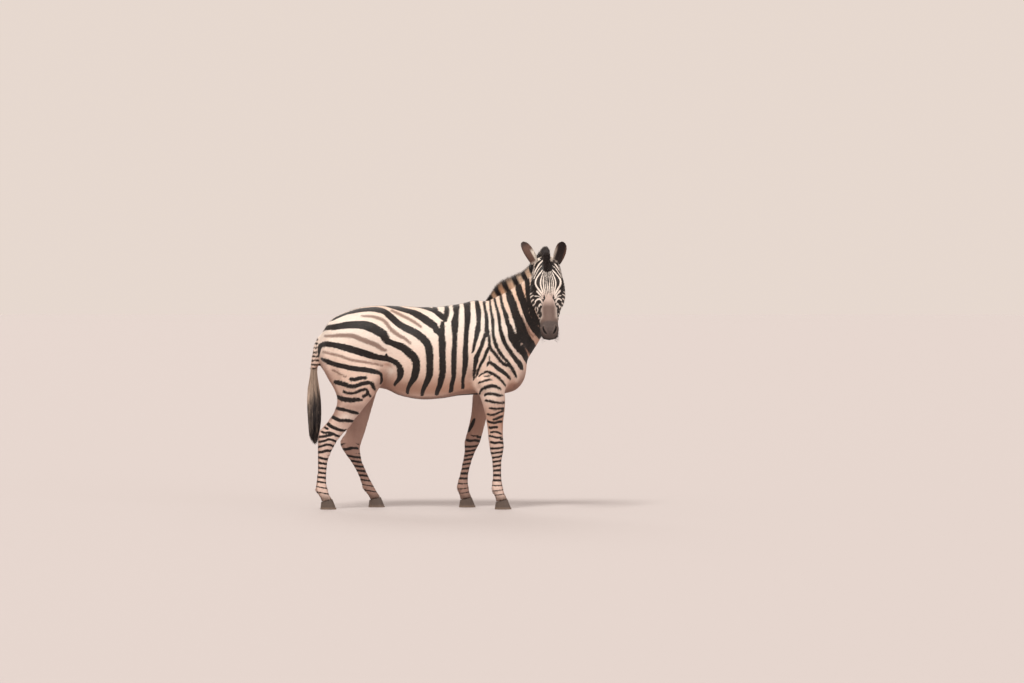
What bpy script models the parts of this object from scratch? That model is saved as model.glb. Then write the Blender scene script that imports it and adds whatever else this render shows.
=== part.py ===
"""A life-size plains zebra, standing, with its head turned to its right.

Units are metres.  +X is forward, +Y is the animal's left and +Z is up.  The floor is z = 0.
The body is lofted from a few outlines, welded into one skin, smoothed, and then parted
into named pieces by thin cuts.  Every outline runs to the tips of the short coat.
"""
import math

import bmesh
import bpy
import numpy as np
from mathutils import Matrix, Vector

# ---------------------------------------------------------------- driving dimensions
GAP = 0.0004             # clearance between pieces that meet
VOXEL = 0.009            # grid of the welded skin
RELAX_ROUNDS = 22        # smoothing passes over the whole skin
BLEND_ROUNDS = 90        # further passes where neck and limbs grow out of the trunk
CHEST_ROUNDS = 45        # passes that only pull in, in the hollow between neck and breast
CHEST_HOLLOW = (0.590, 0.0, 0.955)
CHEST_REACH = 0.120
BLEND_ABOVE_Z = 0.66     # the blending fades in over BLEND_FADE above this height
BLEND_BEHIND_X = 0.72    # and fades out towards this place on the neck
BLEND_FADE = 0.11
BODY_TRIANGLES = 4650    # of the whole skin, before it is parted
HEAD_PLAINNESS = 0.99    # how readily the head gives up triangles, against 1 elsewhere
HEAD_FROM = -0.05        # the head begins this far down from the poll,
HEAD_DEPTH = 0.24        # and is this deep from the face to the jaw
HEAD_ABOVE_Z = 1.0
RING = 40                # points round a lofted section
STEPS = {"trunk": 130, "neck": 60, "head": 90, "leg": 150, "hoof": 4, "mane": 20,
         "forelock": 9, "tuft": 15, "tail": 14}
AROUND = {"hoof": 16, "mane": 10, "forelock": 12, "tuft": 12, "tail": 14}
SHARP = math.radians(50)

POLL = (0.752, -0.272, 1.566)     # top of the head, between the ears
FACE_SLOPE = math.radians(27)     # of the nose line from the vertical
FACE_LEAN = 0.042                 # sideways drift of the nose line, per metre of head
EYE_RADIUS = 0.0205
EYE_PLACE = (0.180, -0.044, 0.0905)   # along the head, out of the face, to the side

THROAT = (0.46, -0.150, 1.270)        # a corner of the cut between the head and the neck
JAW_WAY = (0.0, -0.700, -0.714)       # the cut runs forward along the jaw
NAPE_WAY = (0.0, -0.310, 0.951)       # and up behind the ears
HEAD_CELL = (0.6, 0.6, 0.5)
NECK_CUT = (0.500, 0.0, 1.115)        # a point of the cut between the neck and the trunk
NECK_WAY = (0.84, -0.05, 0.52)        # and the way the neck leaves it
NECK_CELL_REACH = 0.9
NECK_CELL_WIDTH = 1.3

EAR_LENGTH_STEPS = 11
EAR_AROUND = 14
EAR_HALF_WIDTH = 0.033
EAR_WIDEST = 0.42        # of the way from the root to the tip
EAR_ROOT_WIDTH = 0.62    # of the widest
EAR_CUP = 0.030
EAR_WALL = 0.007
EAR_LEAN = 0.010         # how far the middle of the ear bows back
EARS = {                 # root, tip, and the way the opening faces
    "ear_left": ((0.809, -0.262, 1.520), (0.865, -0.292, 1.671), (-0.10, -0.95, 0.2)),
    "ear_right": ((0.692, -0.262, 1.515), (0.603, -0.262, 1.666), (-0.62, 0.78, 0.1)),
}

# ---------------------------------------------------------------- outlines
# Trunk: x, top z, bottom z, half width, height of the widest place (0 bottom, 1 top),
# fullness above and below it (2 is an ellipse).
TRUNK = [
    (-0.668, 1.012, 0.962, 0.030, 0.50, 2.0, 2.0),
    (-0.655, 1.064, 0.900, 0.080, 0.50, 2.0, 2.0),
    (-0.625, 1.126, 0.845, 0.138, 0.52, 2.0, 2.0),
    (-0.585, 1.176, 0.805, 0.180, 0.55, 2.1, 2.0),
    (-0.528, 1.211, 0.775, 0.208, 0.58, 2.1, 2.1),
    (-0.404, 1.253, 0.752, 0.230, 0.60, 2.1, 2.1),
    (-0.267, 1.263, 0.748, 0.238, 0.56, 2.0, 2.1),
    (-0.155, 1.259, 0.702, 0.254, 0.50, 2.0, 2.2),
    (-0.031, 1.255, 0.680, 0.268, 0.46, 2.0, 2.2),
    (0.093, 1.259, 0.685, 0.260, 0.46, 1.9, 2.2),
    (0.217, 1.276, 0.704, 0.224, 0.47, 1.8, 2.1),
    (0.342, 1.299, 0.711, 0.192, 0.46, 1.7, 2.1),
    (0.440, 1.250, 0.713, 0.180, 0.45, 1.8, 2.1),
    (0.520, 1.135, 0.722, 0.158, 0.46, 2.0, 2.1),
    (0.580, 1.040, 0.750, 0.112, 0.48, 2.0, 2.1),
    (0.618, 0.975, 0.805, 0.066, 0.50, 2.0, 2.0),
    (0.633, 0.940, 0.865, 0.028, 0.50, 2.0, 2.0),
]
# Neck: crest point, throat point, half width, fullness of the throat side.
NECK = [
    ((0.300, 0.000, 1.235), (0.572, 0.000, 0.820), 0.150, 2.4),
    ((0.391, 0.000, 1.296), (0.630, 0.000, 0.915), 0.143, 2.4),
    ((0.500, -0.012, 1.350), (0.682, -0.010, 1.000), 0.121, 2.3),
    ((0.600, -0.055, 1.412), (0.733, -0.048, 1.100), 0.100, 2.1),
    ((0.680, -0.125, 1.474), (0.766, -0.105, 1.208), 0.087, 2.0),
    ((0.732, -0.195, 1.532), (0.780, -0.150, 1.312), 0.081, 2.0),
    ((0.752, -0.255, 1.560), (0.776, -0.190, 1.385), 0.076, 2.0),
]
# Head: distance from the poll, height of the face line, depth of the jaw line, half width,
# height of the widest place, fullness above and below it.
HEAD = [
    (-0.040, -0.050, -0.125, 0.040, 0.50, 2.0, 2.0),
    (-0.015, -0.012, -0.170, 0.068, 0.55, 2.1, 2.0),
    (0.030, 0.004, -0.202, 0.085, 0.60, 2.3, 2.1),
    (0.080, 0.012, -0.226, 0.095, 0.64, 2.4, 2.1),
    (0.130, 0.014, -0.233, 0.101, 0.66, 2.4, 2.2),
    (0.175, 0.011, -0.228, 0.106, 0.60, 2.4, 2.2),
    (0.225, 0.006, -0.212, 0.106, 0.50, 2.2, 2.2),
    (0.280, 0.002, -0.184, 0.093, 0.44, 2.0, 2.2),
    (0.335, 0.001, -0.158, 0.072, 0.45, 2.0, 2.2),
    (0.390, -0.001, -0.141, 0.056, 0.50, 2.2, 2.2),
    (0.438, -0.002, -0.131, 0.055, 0.52, 2.4, 2.3),
    (0.474, -0.006, -0.127, 0.054, 0.52, 2.4, 2.3),
    (0.500, -0.020, -0.116, 0.048, 0.50, 2.3, 2.2),
    (0.519, -0.046, -0.094, 0.025, 0.50, 2.0, 2.0),
]
# Legs: z, back x, front x, distance of the middle from the midline, half width.
HIND_THIGH = [
    (1.020, -0.630, -0.340, 0.118, 0.098),
    (0.900, -0.636, -0.262, 0.124, 0.108),
    (0.829, -0.610, -0.255, 0.128, 0.104),
]
HIND_RIGHT = HIND_THIGH + [
    (0.780, -0.581, -0.270, 0.130, 0.096),
    (0.736, -0.559, -0.297, 0.128, 0.086),
    (0.693, -0.547, -0.328, 0.124, 0.075),
    (0.655, -0.548, -0.360, 0.120, 0.066),
    (0.612, -0.562, -0.393, 0.117, 0.057),
    (0.575, -0.583, -0.424, 0.115, 0.049),
    (0.537, -0.613, -0.450, 0.113, 0.042),
    (0.506, -0.642, -0.470, 0.112, 0.038),
    (0.480, -0.660, -0.500, 0.111, 0.038),
    (0.440, -0.667, -0.536, 0.111, 0.042),
    (0.400, -0.667, -0.560, 0.111, 0.040),
    (0.350, -0.668, -0.586, 0.111, 0.033),
    (0.290, -0.668, -0.606, 0.110, 0.026),
    (0.220, -0.670, -0.612, 0.110, 0.0235),
    (0.165, -0.677, -0.613, 0.110, 0.027),
    (0.128, -0.681, -0.606, 0.110, 0.034),
    (0.098, -0.668, -0.598, 0.110, 0.031),
    (0.072, -0.652, -0.584, 0.110, 0.031),
]
HIND_LEFT = HIND_THIGH + [
    (0.780, -0.570, -0.272, 0.130, 0.096),
    (0.724, -0.540, -0.303, 0.128, 0.084),
    (0.672, -0.516, -0.320, 0.124, 0.073),
    (0.618, -0.502, -0.335, 0.120, 0.062),
    (0.556, -0.494, -0.354, 0.117, 0.051),
    (0.505, -0.492, -0.367, 0.115, 0.043),
    (0.465, -0.500, -0.379, 0.114, 0.039),
    (0.425, -0.529, -0.393, 0.113, 0.039),
    (0.400, -0.536, -0.402, 0.113, 0.042),
    (0.368, -0.524, -0.410, 0.112, 0.041),
    (0.326, -0.497, -0.406, 0.112, 0.035),
    (0.280, -0.465, -0.394, 0.112, 0.027),
    (0.220, -0.430, -0.368, 0.111, 0.0235),
    (0.165, -0.408, -0.343, 0.111, 0.027),
    (0.128, -0.396, -0.322, 0.111, 0.034),
    (0.098, -0.378, -0.306, 0.111, 0.031),
    (0.072, -0.358, -0.288, 0.111, 0.031),
]
FORE_SHOULDER = [
    (0.960, 0.320, 0.520, 0.104, 0.078),
    (0.860, 0.306, 0.520, 0.112, 0.080),
    (0.780, 0.312, 0.505, 0.115, 0.074),
]
FORE_RIGHT = FORE_SHOULDER + [
    (0.720, 0.334, 0.496, 0.113, 0.066),
    (0.680, 0.348, 0.499, 0.110, 0.061),
    (0.618, 0.366, 0.496, 0.107, 0.053),
    (0.556, 0.379, 0.488, 0.105, 0.045),
    (0.494, 0.388, 0.484, 0.103, 0.040),
    (0.440, 0.393, 0.487, 0.102, 0.041),
    (0.392, 0.399, 0.491, 0.101, 0.042),
    (0.350, 0.406, 0.485, 0.101, 0.036),
    (0.300, 0.416, 0.477, 0.100, 0.027),
    (0.220, 0.419, 0.475, 0.100, 0.0240),
    (0.165, 0.416, 0.480, 0.100, 0.028),
    (0.128, 0.413, 0.487, 0.100, 0.035),
    (0.098, 0.424, 0.495, 0.100, 0.032),
    (0.072, 0.436, 0.508, 0.100, 0.034),
]
FORE_LEFT = FORE_SHOULDER + [
    (0.720, 0.298, 0.462, 0.113, 0.066),
    (0.680, 0.293, 0.438, 0.110, 0.061),
    (0.618, 0.288, 0.407, 0.107, 0.053),
    (0.556, 0.280, 0.382, 0.105, 0.046),
    (0.494, 0.266, 0.366, 0.103, 0.041),
    (0.440, 0.250, 0.351, 0.102, 0.042),
    (0.398, 0.242, 0.338, 0.101, 0.042),
    (0.356, 0.244, 0.315, 0.101, 0.035),
    (0.300, 0.234, 0.293, 0.100, 0.027),
    (0.220, 0.217, 0.272, 0.100, 0.0240),
    (0.165, 0.203, 0.266, 0.100, 0.028),
    (0.128, 0.195, 0.269, 0.100, 0.035),
    (0.098, 0.203, 0.274, 0.100, 0.032),
    (0.072, 0.212, 0.284, 0.100, 0.034),
]
LEG_CELL_DEPTH = 1.1
LEG_CELL_WIDTH = 0.5
# Where a leg is parted from the trunk: the front and the back end of the cut, and the way
# its cell runs down from there, all in x and z.
LEG_CUTS = {
    "fore": ((0.800, 0.704), (0.262, 0.704), (-0.30, -0.95)),
    "hind": ((-0.033, 0.632), (-0.715, 0.918), (-0.387, -0.922)),
}
# Hooves: heel and toe x of the sole and of the coronet, from the pastern's last row, with
# the half width there.
CORONET_Z = 0.054
CORONET_TILT = math.radians(14)
CORONET_INSET = 0.002    # the leg's own width there, inside the hoof's
LEG_END_Z = 0.012        # the leg's loft runs on to here, inside the hoof
HOOF_CELL = 0.3
SOLE = {"fore": (-0.004, 0.030, 0.0410), "hind": (0.000, 0.034, 0.0370)}
CORONET = {"fore": (0.004, 0.008, 0.0360), "hind": (0.006, 0.012, 0.0330)}

# Tail: z, back x, front x, half width.
DOCK = [
    (1.105, -0.630, -0.560, 0.034),
    (1.075, -0.662, -0.592, 0.032),
    (1.040, -0.684, -0.628, 0.028),
    (0.990, -0.699, -0.656, 0.0245),
    (0.920, -0.710, -0.669, 0.0215),
    (0.850, -0.715, -0.675, 0.0210),
    (0.800, -0.715, -0.677, 0.0190),
]
TUFT = [
    (0.865, -0.7165, -0.6725, 0.0225),
    (0.820, -0.722, -0.669, 0.026),
    (0.760, -0.734, -0.658, 0.032),
    (0.680, -0.740, -0.648, 0.037),
    (0.600, -0.737, -0.645, 0.039),
    (0.540, -0.734, -0.647, 0.038),
    (0.480, -0.731, -0.654, 0.032),
    (0.430, -0.727, -0.664, 0.023),
    (0.400, -0.708, -0.670, 0.012),
    (0.388, -0.690, -0.678, 0.004),
]
# Mane: point on the neck, tip of the hair above it, half width.
MANE = [
    ((0.372, 0.000, 1.270), (0.384, 0.000, 1.300), 0.010),
    ((0.408, 0.000, 1.280), (0.410, 0.000, 1.350), 0.018),
    ((0.462, -0.004, 1.300), (0.448, -0.003, 1.403), 0.022),
    ((0.515, -0.014, 1.330), (0.498, -0.010, 1.434), 0.024),
    ((0.572, -0.036, 1.365), (0.558, -0.030, 1.470), 0.024),
    ((0.630, -0.075, 1.405), (0.610, -0.065, 1.505), 0.024),
    ((0.682, -0.125, 1.450), (0.662, -0.115, 1.553), 0.023),
    ((0.722, -0.180, 1.500), (0.705, -0.172, 1.603), 0.022),
    ((0.742, -0.228, 1.530), (0.735, -0.226, 1.638), 0.021),
    ((0.748, -0.258, 1.540), (0.746, -0.262, 1.645), 0.020),
    ((0.750, -0.275, 1.543), (0.749, -0.302, 1.642), 0.020),
    ((0.751, -0.288, 1.538), (0.751, -0.336, 1.618), 0.020),
]
# Forelock: the hair's tip and its root, each as a distance from the poll and a height
# over the face line; half width.
FORELOCK = [
    (-0.016, 0.080, 0.035, -0.010, 0.020),
    (0.022, 0.065, 0.046, -0.016, 0.023),
    (0.050, 0.045, 0.061, -0.014, 0.023),
    (0.077, 0.030, 0.080, -0.012, 0.018),
    (0.098, 0.021, 0.098, -0.010, 0.011),
    (0.108, 0.014, 0.107, -0.010, 0.004),
]
# Rounded masses that swell the skin: middle, half sizes, pitch about the Y axis.
MASSES = [
    ((-0.470, 0.128, 0.930), (0.165, 0.104, 0.210), math.radians(-18)),   # thigh
    ((-0.335, 0.140, 1.105), (0.085, 0.085, 0.085), 0.0),                 # point of the hip
    ((-0.350, 0.138, 0.810), (0.085, 0.078, 0.110), math.radians(20)),    # stifle
    ((0.395, 0.098, 0.965), (0.120, 0.090, 0.210), math.radians(22)),     # shoulder blade
    ((0.525, 0.060, 0.828), (0.080, 0.072, 0.082), 0.0),                  # breast
    ((0.360, 0.118, 0.800), (0.075, 0.070, 0.095), math.radians(-15)),    # elbow
]
# Masses of the head, in the head's own directions: cheek, brow, nostril, lip.
HEAD_MASSES = [
    ((0.150, -0.130, 0.052), (0.100, 0.088, 0.042)),
    ((0.165, -0.022, 0.076), (0.046, 0.030, 0.028)),
    ((0.465, -0.046, 0.033), (0.036, 0.034, 0.026)),
    ((0.478, -0.100, 0.016), (0.034, 0.028, 0.030)),
]

COLOURS = {
    "coat": (0.62, 0.55, 0.45, 0.85),
    "mane": (0.10, 0.08, 0.07, 0.80),
    "hoof": (0.09, 0.075, 0.065, 0.55),
    "eye": (0.012, 0.008, 0.006, 0.12),
}


# ---------------------------------------------------------------- helpers
def clear_scene():
    for item in list(bpy.data.objects):
        bpy.data.objects.remove(item)


def paint(item, key):
    """Give the object its own material, named after it."""
    red, green, blue, rough = COLOURS[key]
    material = bpy.data.materials.new(item.name + "_" + key)
    material.use_nodes = True
    shader = material.node_tree.nodes["Principled BSDF"]
    shader.inputs["Base Color"].default_value = (red, green, blue, 1.0)
    shader.inputs["Roughness"].default_value = rough
    shader.inputs["Metallic"].default_value = 0.0
    item.data.materials.clear()
    item.data.materials.append(material)


def smooth_rows(rows, steps):
    """Pass a Catmull-Rom curve through rows of numbers and read it at even steps."""
    rows = np.array(rows, dtype=float)
    padded = np.vstack([2 * rows[0] - rows[1], rows, 2 * rows[-1] - rows[-2]])
    place = np.linspace(0.0, len(rows) - 1.0, steps)
    span = np.minimum(place.astype(int), len(rows) - 2)
    t = (place - span)[:, None]
    a, b, c, d = (padded[span + k] for k in range(4))
    return 0.5 * (2 * b + (c - a) * t + (2 * a - 5 * b + 4 * c - d) * t ** 2
                  + (3 * b - a - 3 * c + d) * t ** 3)


def unit(vectors):
    return vectors / np.linalg.norm(vectors, axis=-1, keepdims=True)


def grid_object(name, rings):
    """A closed tube through rings of points, with flat ends."""
    count, around = rings.shape[:2]
    step = np.arange(around)
    after = (step + 1) % around
    faces = []
    for row in range(count - 1):
        low, high = row * around, (row + 1) * around
        faces += np.stack([low + step, low + after, high + after, high + step], 1).tolist()
    faces.append(list(range(around))[::-1])
    faces.append(list(range((count - 1) * around, count * around)))
    mesh = bpy.data.meshes.new(name)
    mesh.from_pydata(rings.reshape(-1, 3).tolist(), [], faces)
    item = bpy.data.objects.new(name, mesh)
    bpy.context.scene.collection.objects.link(item)
    shell = bmesh.new()
    shell.from_mesh(mesh)
    bmesh.ops.recalc_face_normals(shell, faces=shell.faces)
    shell.to_mesh(mesh)
    shell.free()
    return item


def loft(name, rows, steps, around=RING):
    """Sections between a top line and a bottom line.

    Each row is top xyz, bottom xyz, half width, height of the widest place, and the
    fullness of the section above and below that place.
    """
    table = smooth_rows(rows, steps)
    top, bottom = table[:, 0:3], table[:, 3:6]
    half, widest, over, under = (table[:, k][:, None] for k in range(6, 10))
    upward = top - bottom
    height = np.linalg.norm(upward, axis=1, keepdims=True)
    upward = upward / height
    along = unit(np.gradient((top + bottom) / 2, axis=0))
    side = unit(np.cross(upward, along))
    turn = np.linspace(0, 2 * math.pi, around, endpoint=False)[None, :]
    lift, reach = np.sin(turn), np.cos(turn)
    full = np.where(lift >= 0, over, under)
    rise = np.sign(lift) * np.abs(lift) ** (2 / full)
    spread = np.sign(reach) * np.abs(reach) ** (2 / full)
    span = np.where(lift >= 0, (1 - widest) * height, widest * height)
    middle = bottom + upward * widest * height
    points = (middle[:, None, :] + upward[:, None, :] * (rise * span)[:, :, None]
              + side[:, None, :] * (spread * half)[:, :, None])
    return grid_object(name, points)


def head_frame():
    """Origin at the poll; columns run down the face, out of the face, and to its left."""
    down = unit(np.array([FACE_LEAN, -math.sin(FACE_SLOPE), -math.cos(FACE_SLOPE)]))
    out = np.array([0.0, -math.cos(FACE_SLOPE), math.sin(FACE_SLOPE)])
    out = unit(out - down * out.dot(down))
    left = np.cross(out, down)
    return np.array(POLL), np.stack([down, out, left])


def in_head(place):
    origin, axes = head_frame()
    return origin + np.asarray(place, dtype=float) @ axes


def ball(name, centre, sizes, axes=None, pitch=0.0, rings=16):
    """An ellipsoid, in the given directions or pitched about the Y axis."""
    mesh = bpy.data.meshes.new(name)
    item = bpy.data.objects.new(name, mesh)
    bpy.context.scene.collection.objects.link(item)
    if axes is None:
        turn = Matrix.Rotation(pitch, 4, "Y")
    else:
        turn = Matrix([list(row) for row in axes]).transposed().to_4x4()
    place = Matrix.Translation(Vector(centre)) @ turn @ Matrix.Diagonal((*sizes, 1.0))
    shell = bmesh.new()
    bmesh.ops.create_uvsphere(shell, u_segments=2 * rings, v_segments=rings, radius=1.0)
    bmesh.ops.transform(shell, matrix=place, verts=shell.verts)
    bmesh.ops.recalc_face_normals(shell, faces=shell.faces)
    shell.to_mesh(mesh)
    shell.free()
    return item


def freeze(item):
    """Replace the object's mesh with what its modifiers make of it."""
    graph = bpy.context.evaluated_depsgraph_get()
    mesh = bpy.data.meshes.new_from_object(item.evaluated_get(graph))
    item.modifiers.clear()
    item.data = mesh
    return item


def trim(item, other, operation):
    """Boolean with another object, made real."""
    cut = item.modifiers.new("cut", "BOOLEAN")
    cut.operation = operation
    cut.solver = "EXACT"
    cut.object = other
    return freeze(item)


def copy_of(item, name):
    twin = bpy.data.objects.new(name, item.data.copy())
    bpy.context.scene.collection.objects.link(twin)
    return twin


def swollen(item, name, amount):
    """A copy whose surface stands out by the given amount."""
    twin = copy_of(item, name)
    count = len(twin.data.vertices)
    points, normals = np.empty(count * 3), np.empty(count * 3)
    twin.data.vertices.foreach_get("co", points)
    twin.data.vertices.foreach_get("normal", normals)
    twin.data.vertices.foreach_set("co", points + normals * amount)
    return twin


def block(name, corner, axes, sizes):
    """A box with one corner given, its edges along three directions."""
    signs = np.array([(a, b, c) for a in (0, 1) for b in (0, 1) for c in (0, 1)], dtype=float)
    points = np.asarray(corner) + (signs * np.asarray(sizes)) @ np.asarray(axes)
    faces = [(0, 1, 3, 2), (4, 6, 7, 5), (0, 4, 5, 1), (2, 3, 7, 6), (0, 2, 6, 4), (1, 5, 7, 3)]
    mesh = bpy.data.meshes.new(name)
    mesh.from_pydata(points.tolist(), [], faces)
    item = bpy.data.objects.new(name, mesh)
    bpy.context.scene.collection.objects.link(item)
    shell = bmesh.new()
    shell.from_mesh(mesh)
    bmesh.ops.recalc_face_normals(shell, faces=shell.faces)
    shell.to_mesh(mesh)
    shell.free()
    return item


def half_space(name, point, normal, reach, size):
    """A box whose near face passes through the point, reaching along the normal."""
    forward = unit(np.asarray(normal, dtype=float))
    side = unit(np.cross(forward, (0.0, 0.0, 1.0)))
    if abs(forward[2]) > 0.9:
        side = unit(np.cross(forward, (0.0, 1.0, 0.0)))
    up = np.cross(side, forward)
    corner = np.asarray(point) - (side + up) * size / 2
    return block(name, corner, (forward, side, up), (reach, size, size))


def largest_body(item):
    """Keep only the biggest connected piece of the mesh."""
    shell = bmesh.new()
    shell.from_mesh(item.data)
    left = set(shell.verts)
    bodies = []
    while left:
        seed = left.pop()
        body, edge_of = {seed}, [seed]
        while edge_of:
            vertex = edge_of.pop()
            for edge in vertex.link_edges:
                other = edge.other_vert(vertex)
                if other not in body:
                    body.add(other)
                    edge_of.append(other)
        left -= body
        bodies.append(body)
    bodies.sort(key=len, reverse=True)
    for body in bodies[1:]:
        bmesh.ops.delete(shell, geom=list(body), context="VERTS")
    shell.to_mesh(item.data)
    shell.free()
    return item


def relax(item, rounds, weight_of=None, shrink=0.5, swell=-0.52):
    """Even out the surface without losing volume: each round pulls in, then pushes out.

    weight_of takes the points and says how strongly each one is moved, from 0 to 1.
    """
    mesh = item.data
    count = len(mesh.vertices)
    points = np.empty(count * 3)
    mesh.vertices.foreach_get("co", points)
    points = points.reshape(-1, 3)
    ends = np.empty(len(mesh.edges) * 2, dtype=np.int64)
    mesh.edges.foreach_get("vertices", ends)
    one, two = ends[0::2], ends[1::2]
    valence = np.bincount(ends, minlength=count)[:, None]
    weight = 1.0 if weight_of is None else weight_of(points)[:, None]
    for step in range(2 * rounds):
        total = np.empty_like(points)
        for axis in range(3):
            total[:, axis] = (np.bincount(one, points[two, axis], count)
                              + np.bincount(two, points[one, axis], count))
        factor = shrink if step % 2 == 0 else swell
        points = points + factor * weight * (total / valence - points)
    mesh.vertices.foreach_set("co", points.ravel())
    mesh.update()


def drop(*items):
    for item in items:
        bpy.data.objects.remove(item)


# ---------------------------------------------------------------- the whole skin
def trunk_rows():
    rows = []
    for x, top, bottom, half, widest, over, under in TRUNK:
        rows.append((x, 0, top, x, 0, bottom, half, widest, over, under))
    return rows


def neck_rows():
    return [(*crest, *throat, half, 0.44, 1.9, under) for crest, throat, half, under in NECK]


def head_rows():
    rows = []
    for place, face, jaw, half, widest, over, under in HEAD:
        top, bottom = in_head((place, face, 0)), in_head((place, jaw, 0))
        rows.append((*top, *bottom, half, widest, over, under))
    return rows


def leg_rows(rows, kind, side):
    """Rows of a leg down to the coronet, and on towards the floor inside the hoof."""
    table = [(front, side * y, z, back, side * y, z, half, 0.5, 2.1, 2.1)
             for z, back, front, y, half in rows]
    back, front, y = rows[-1][1], rows[-1][2], side * rows[-1][3]
    heel, toe, half = CORONET[kind]
    for z in (CORONET_Z, LEG_END_Z):
        table.append((front + toe, y, z, back + heel, y, z, half - CORONET_INSET, 0.5, 2.2, 2.2))
    return table


def hoof_rows(rows, kind, side):
    """Straight walls from the sole up past the coronet."""
    back, front, y = rows[-1][1], rows[-1][2], side * rows[-1][3]
    low, high = np.array(SOLE[kind]), np.array(CORONET[kind])
    table = []
    for rise in (0.0, 0.25, 1.5):
        heel, toe, half = low + (high - low) * rise
        z = rise * CORONET_Z
        table.append((front + toe, y, z, back + heel, y, z, half, 0.44, 2.2, 2.5))
    return table


def column_rows(rows):
    """Rows of an upright piece on the midline, such as the tail."""
    return [(front, 0, z, back, 0, z, half, 0.5, 2.0, 2.0) for z, back, front, half in rows]


LEGS = {
    "foreleg_left": (FORE_LEFT, "fore", 1),
    "foreleg_right": (FORE_RIGHT, "fore", -1),
    "hindleg_left": (HIND_LEFT, "hind", 1),
    "hindleg_right": (HIND_RIGHT, "hind", -1),
}


def trunk_weight(points):
    """1 over the trunk and the root of the neck, fading to 0 on the head and the legs."""
    above_legs = np.clip((points[:, 2] - BLEND_ABOVE_Z) / BLEND_FADE, 0, 1)
    short_of_head = np.clip((BLEND_BEHIND_X - points[:, 0]) / BLEND_FADE, 0, 1)
    return above_legs * short_of_head


def chest_weight(points):
    """1 in the hollow over the breast, fading to 0 around it."""
    distance = np.linalg.norm(points - np.array(CHEST_HOLLOW), axis=1)
    return np.exp(-(distance / CHEST_REACH) ** 2)


def whole_skin():
    """Weld the lofts and masses into one smooth closed surface."""
    pieces = [
        loft("trunk_loft", trunk_rows(), STEPS["trunk"]),
        loft("neck_loft", neck_rows(), STEPS["neck"]),
        loft("head_loft", head_rows(), STEPS["head"]),
    ]
    for name, (rows, kind, side) in LEGS.items():
        pieces.append(loft(name + "_loft", leg_rows(rows, kind, side), STEPS["leg"]))
    for middle, sizes, pitch in MASSES:
        for side in (-1, 1):
            centre = (middle[0], side * middle[1], middle[2])
            pieces.append(ball("mass", centre, sizes, pitch=pitch))
    axes = head_frame()[1]
    for middle, sizes in HEAD_MASSES:
        for side in (-1, 1):
            centre = in_head((middle[0], middle[1], side * middle[2]))
            pieces.append(ball("head_mass", centre, sizes, axes=axes))
    whole = bmesh.new()
    for piece in pieces:
        whole.from_mesh(piece.data)
    mesh = bpy.data.meshes.new("skin")
    whole.to_mesh(mesh)
    whole.free()
    drop(*pieces)
    skin = bpy.data.objects.new("skin", mesh)
    bpy.context.scene.collection.objects.link(skin)
    weld = skin.modifiers.new("weld", "REMESH")
    weld.mode = "VOXEL"
    weld.voxel_size = VOXEL
    freeze(skin)
    relax(skin, RELAX_ROUNDS)
    relax(skin, BLEND_ROUNDS, trunk_weight)
    relax(skin, CHEST_ROUNDS, chest_weight, swell=0.0)
    thin_out(skin)
    return skin


def thin_out(skin):
    """Bring the skin down to its triangles, with the most left to the head."""
    plain = skin.vertex_groups.new(name="plain")
    origin, axes = head_frame()
    for vertex in skin.data.vertices:
        along, depth = (axes[:2] @ (np.array(vertex.co) - origin)).tolist()
        in_the_head = depth > -HEAD_DEPTH and along > HEAD_FROM and vertex.co.z > HEAD_ABOVE_Z
        plain.add([vertex.index], HEAD_PLAINNESS if in_the_head else 1.0, "REPLACE")
    faces = sum(len(face.vertices) - 2 for face in skin.data.polygons)
    thin = skin.modifiers.new("thin", "DECIMATE")
    thin.ratio = BODY_TRIANGLES / faces
    thin.vertex_group = "plain"
    thin.vertex_group_factor = 1.0
    freeze(skin)
    skin.vertex_groups.clear()


# ---------------------------------------------------------------- the parted pieces
def part_by_cells(body, name, rest_name, near, wide):
    """Part the body in two: what is inside the near cell, and what is outside the wide one.

    The wide cell is the near one grown by the gap, so the two pieces stand clear.
    """
    piece, rest = copy_of(body, name), copy_of(body, rest_name)
    trim(piece, near, "INTERSECT")
    trim(rest, wide, "DIFFERENCE")
    drop(near, wide, body)
    return largest_body(piece), largest_body(rest)


def finish(item, colour):
    """Colour the piece; flat where it was cut, smooth elsewhere."""
    paint(item, colour)
    item.data.shade_smooth()
    item.data.set_sharp_from_angle(angle=SHARP)


def stands_clear(item, *others):
    """Take the neighbours, grown by the gap, out of the piece."""
    for other in others:
        cutter = swollen(other, "cutter", 1.5 * GAP)
        trim(item, cutter, "DIFFERENCE")
        drop(cutter)
    return largest_body(item)


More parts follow.
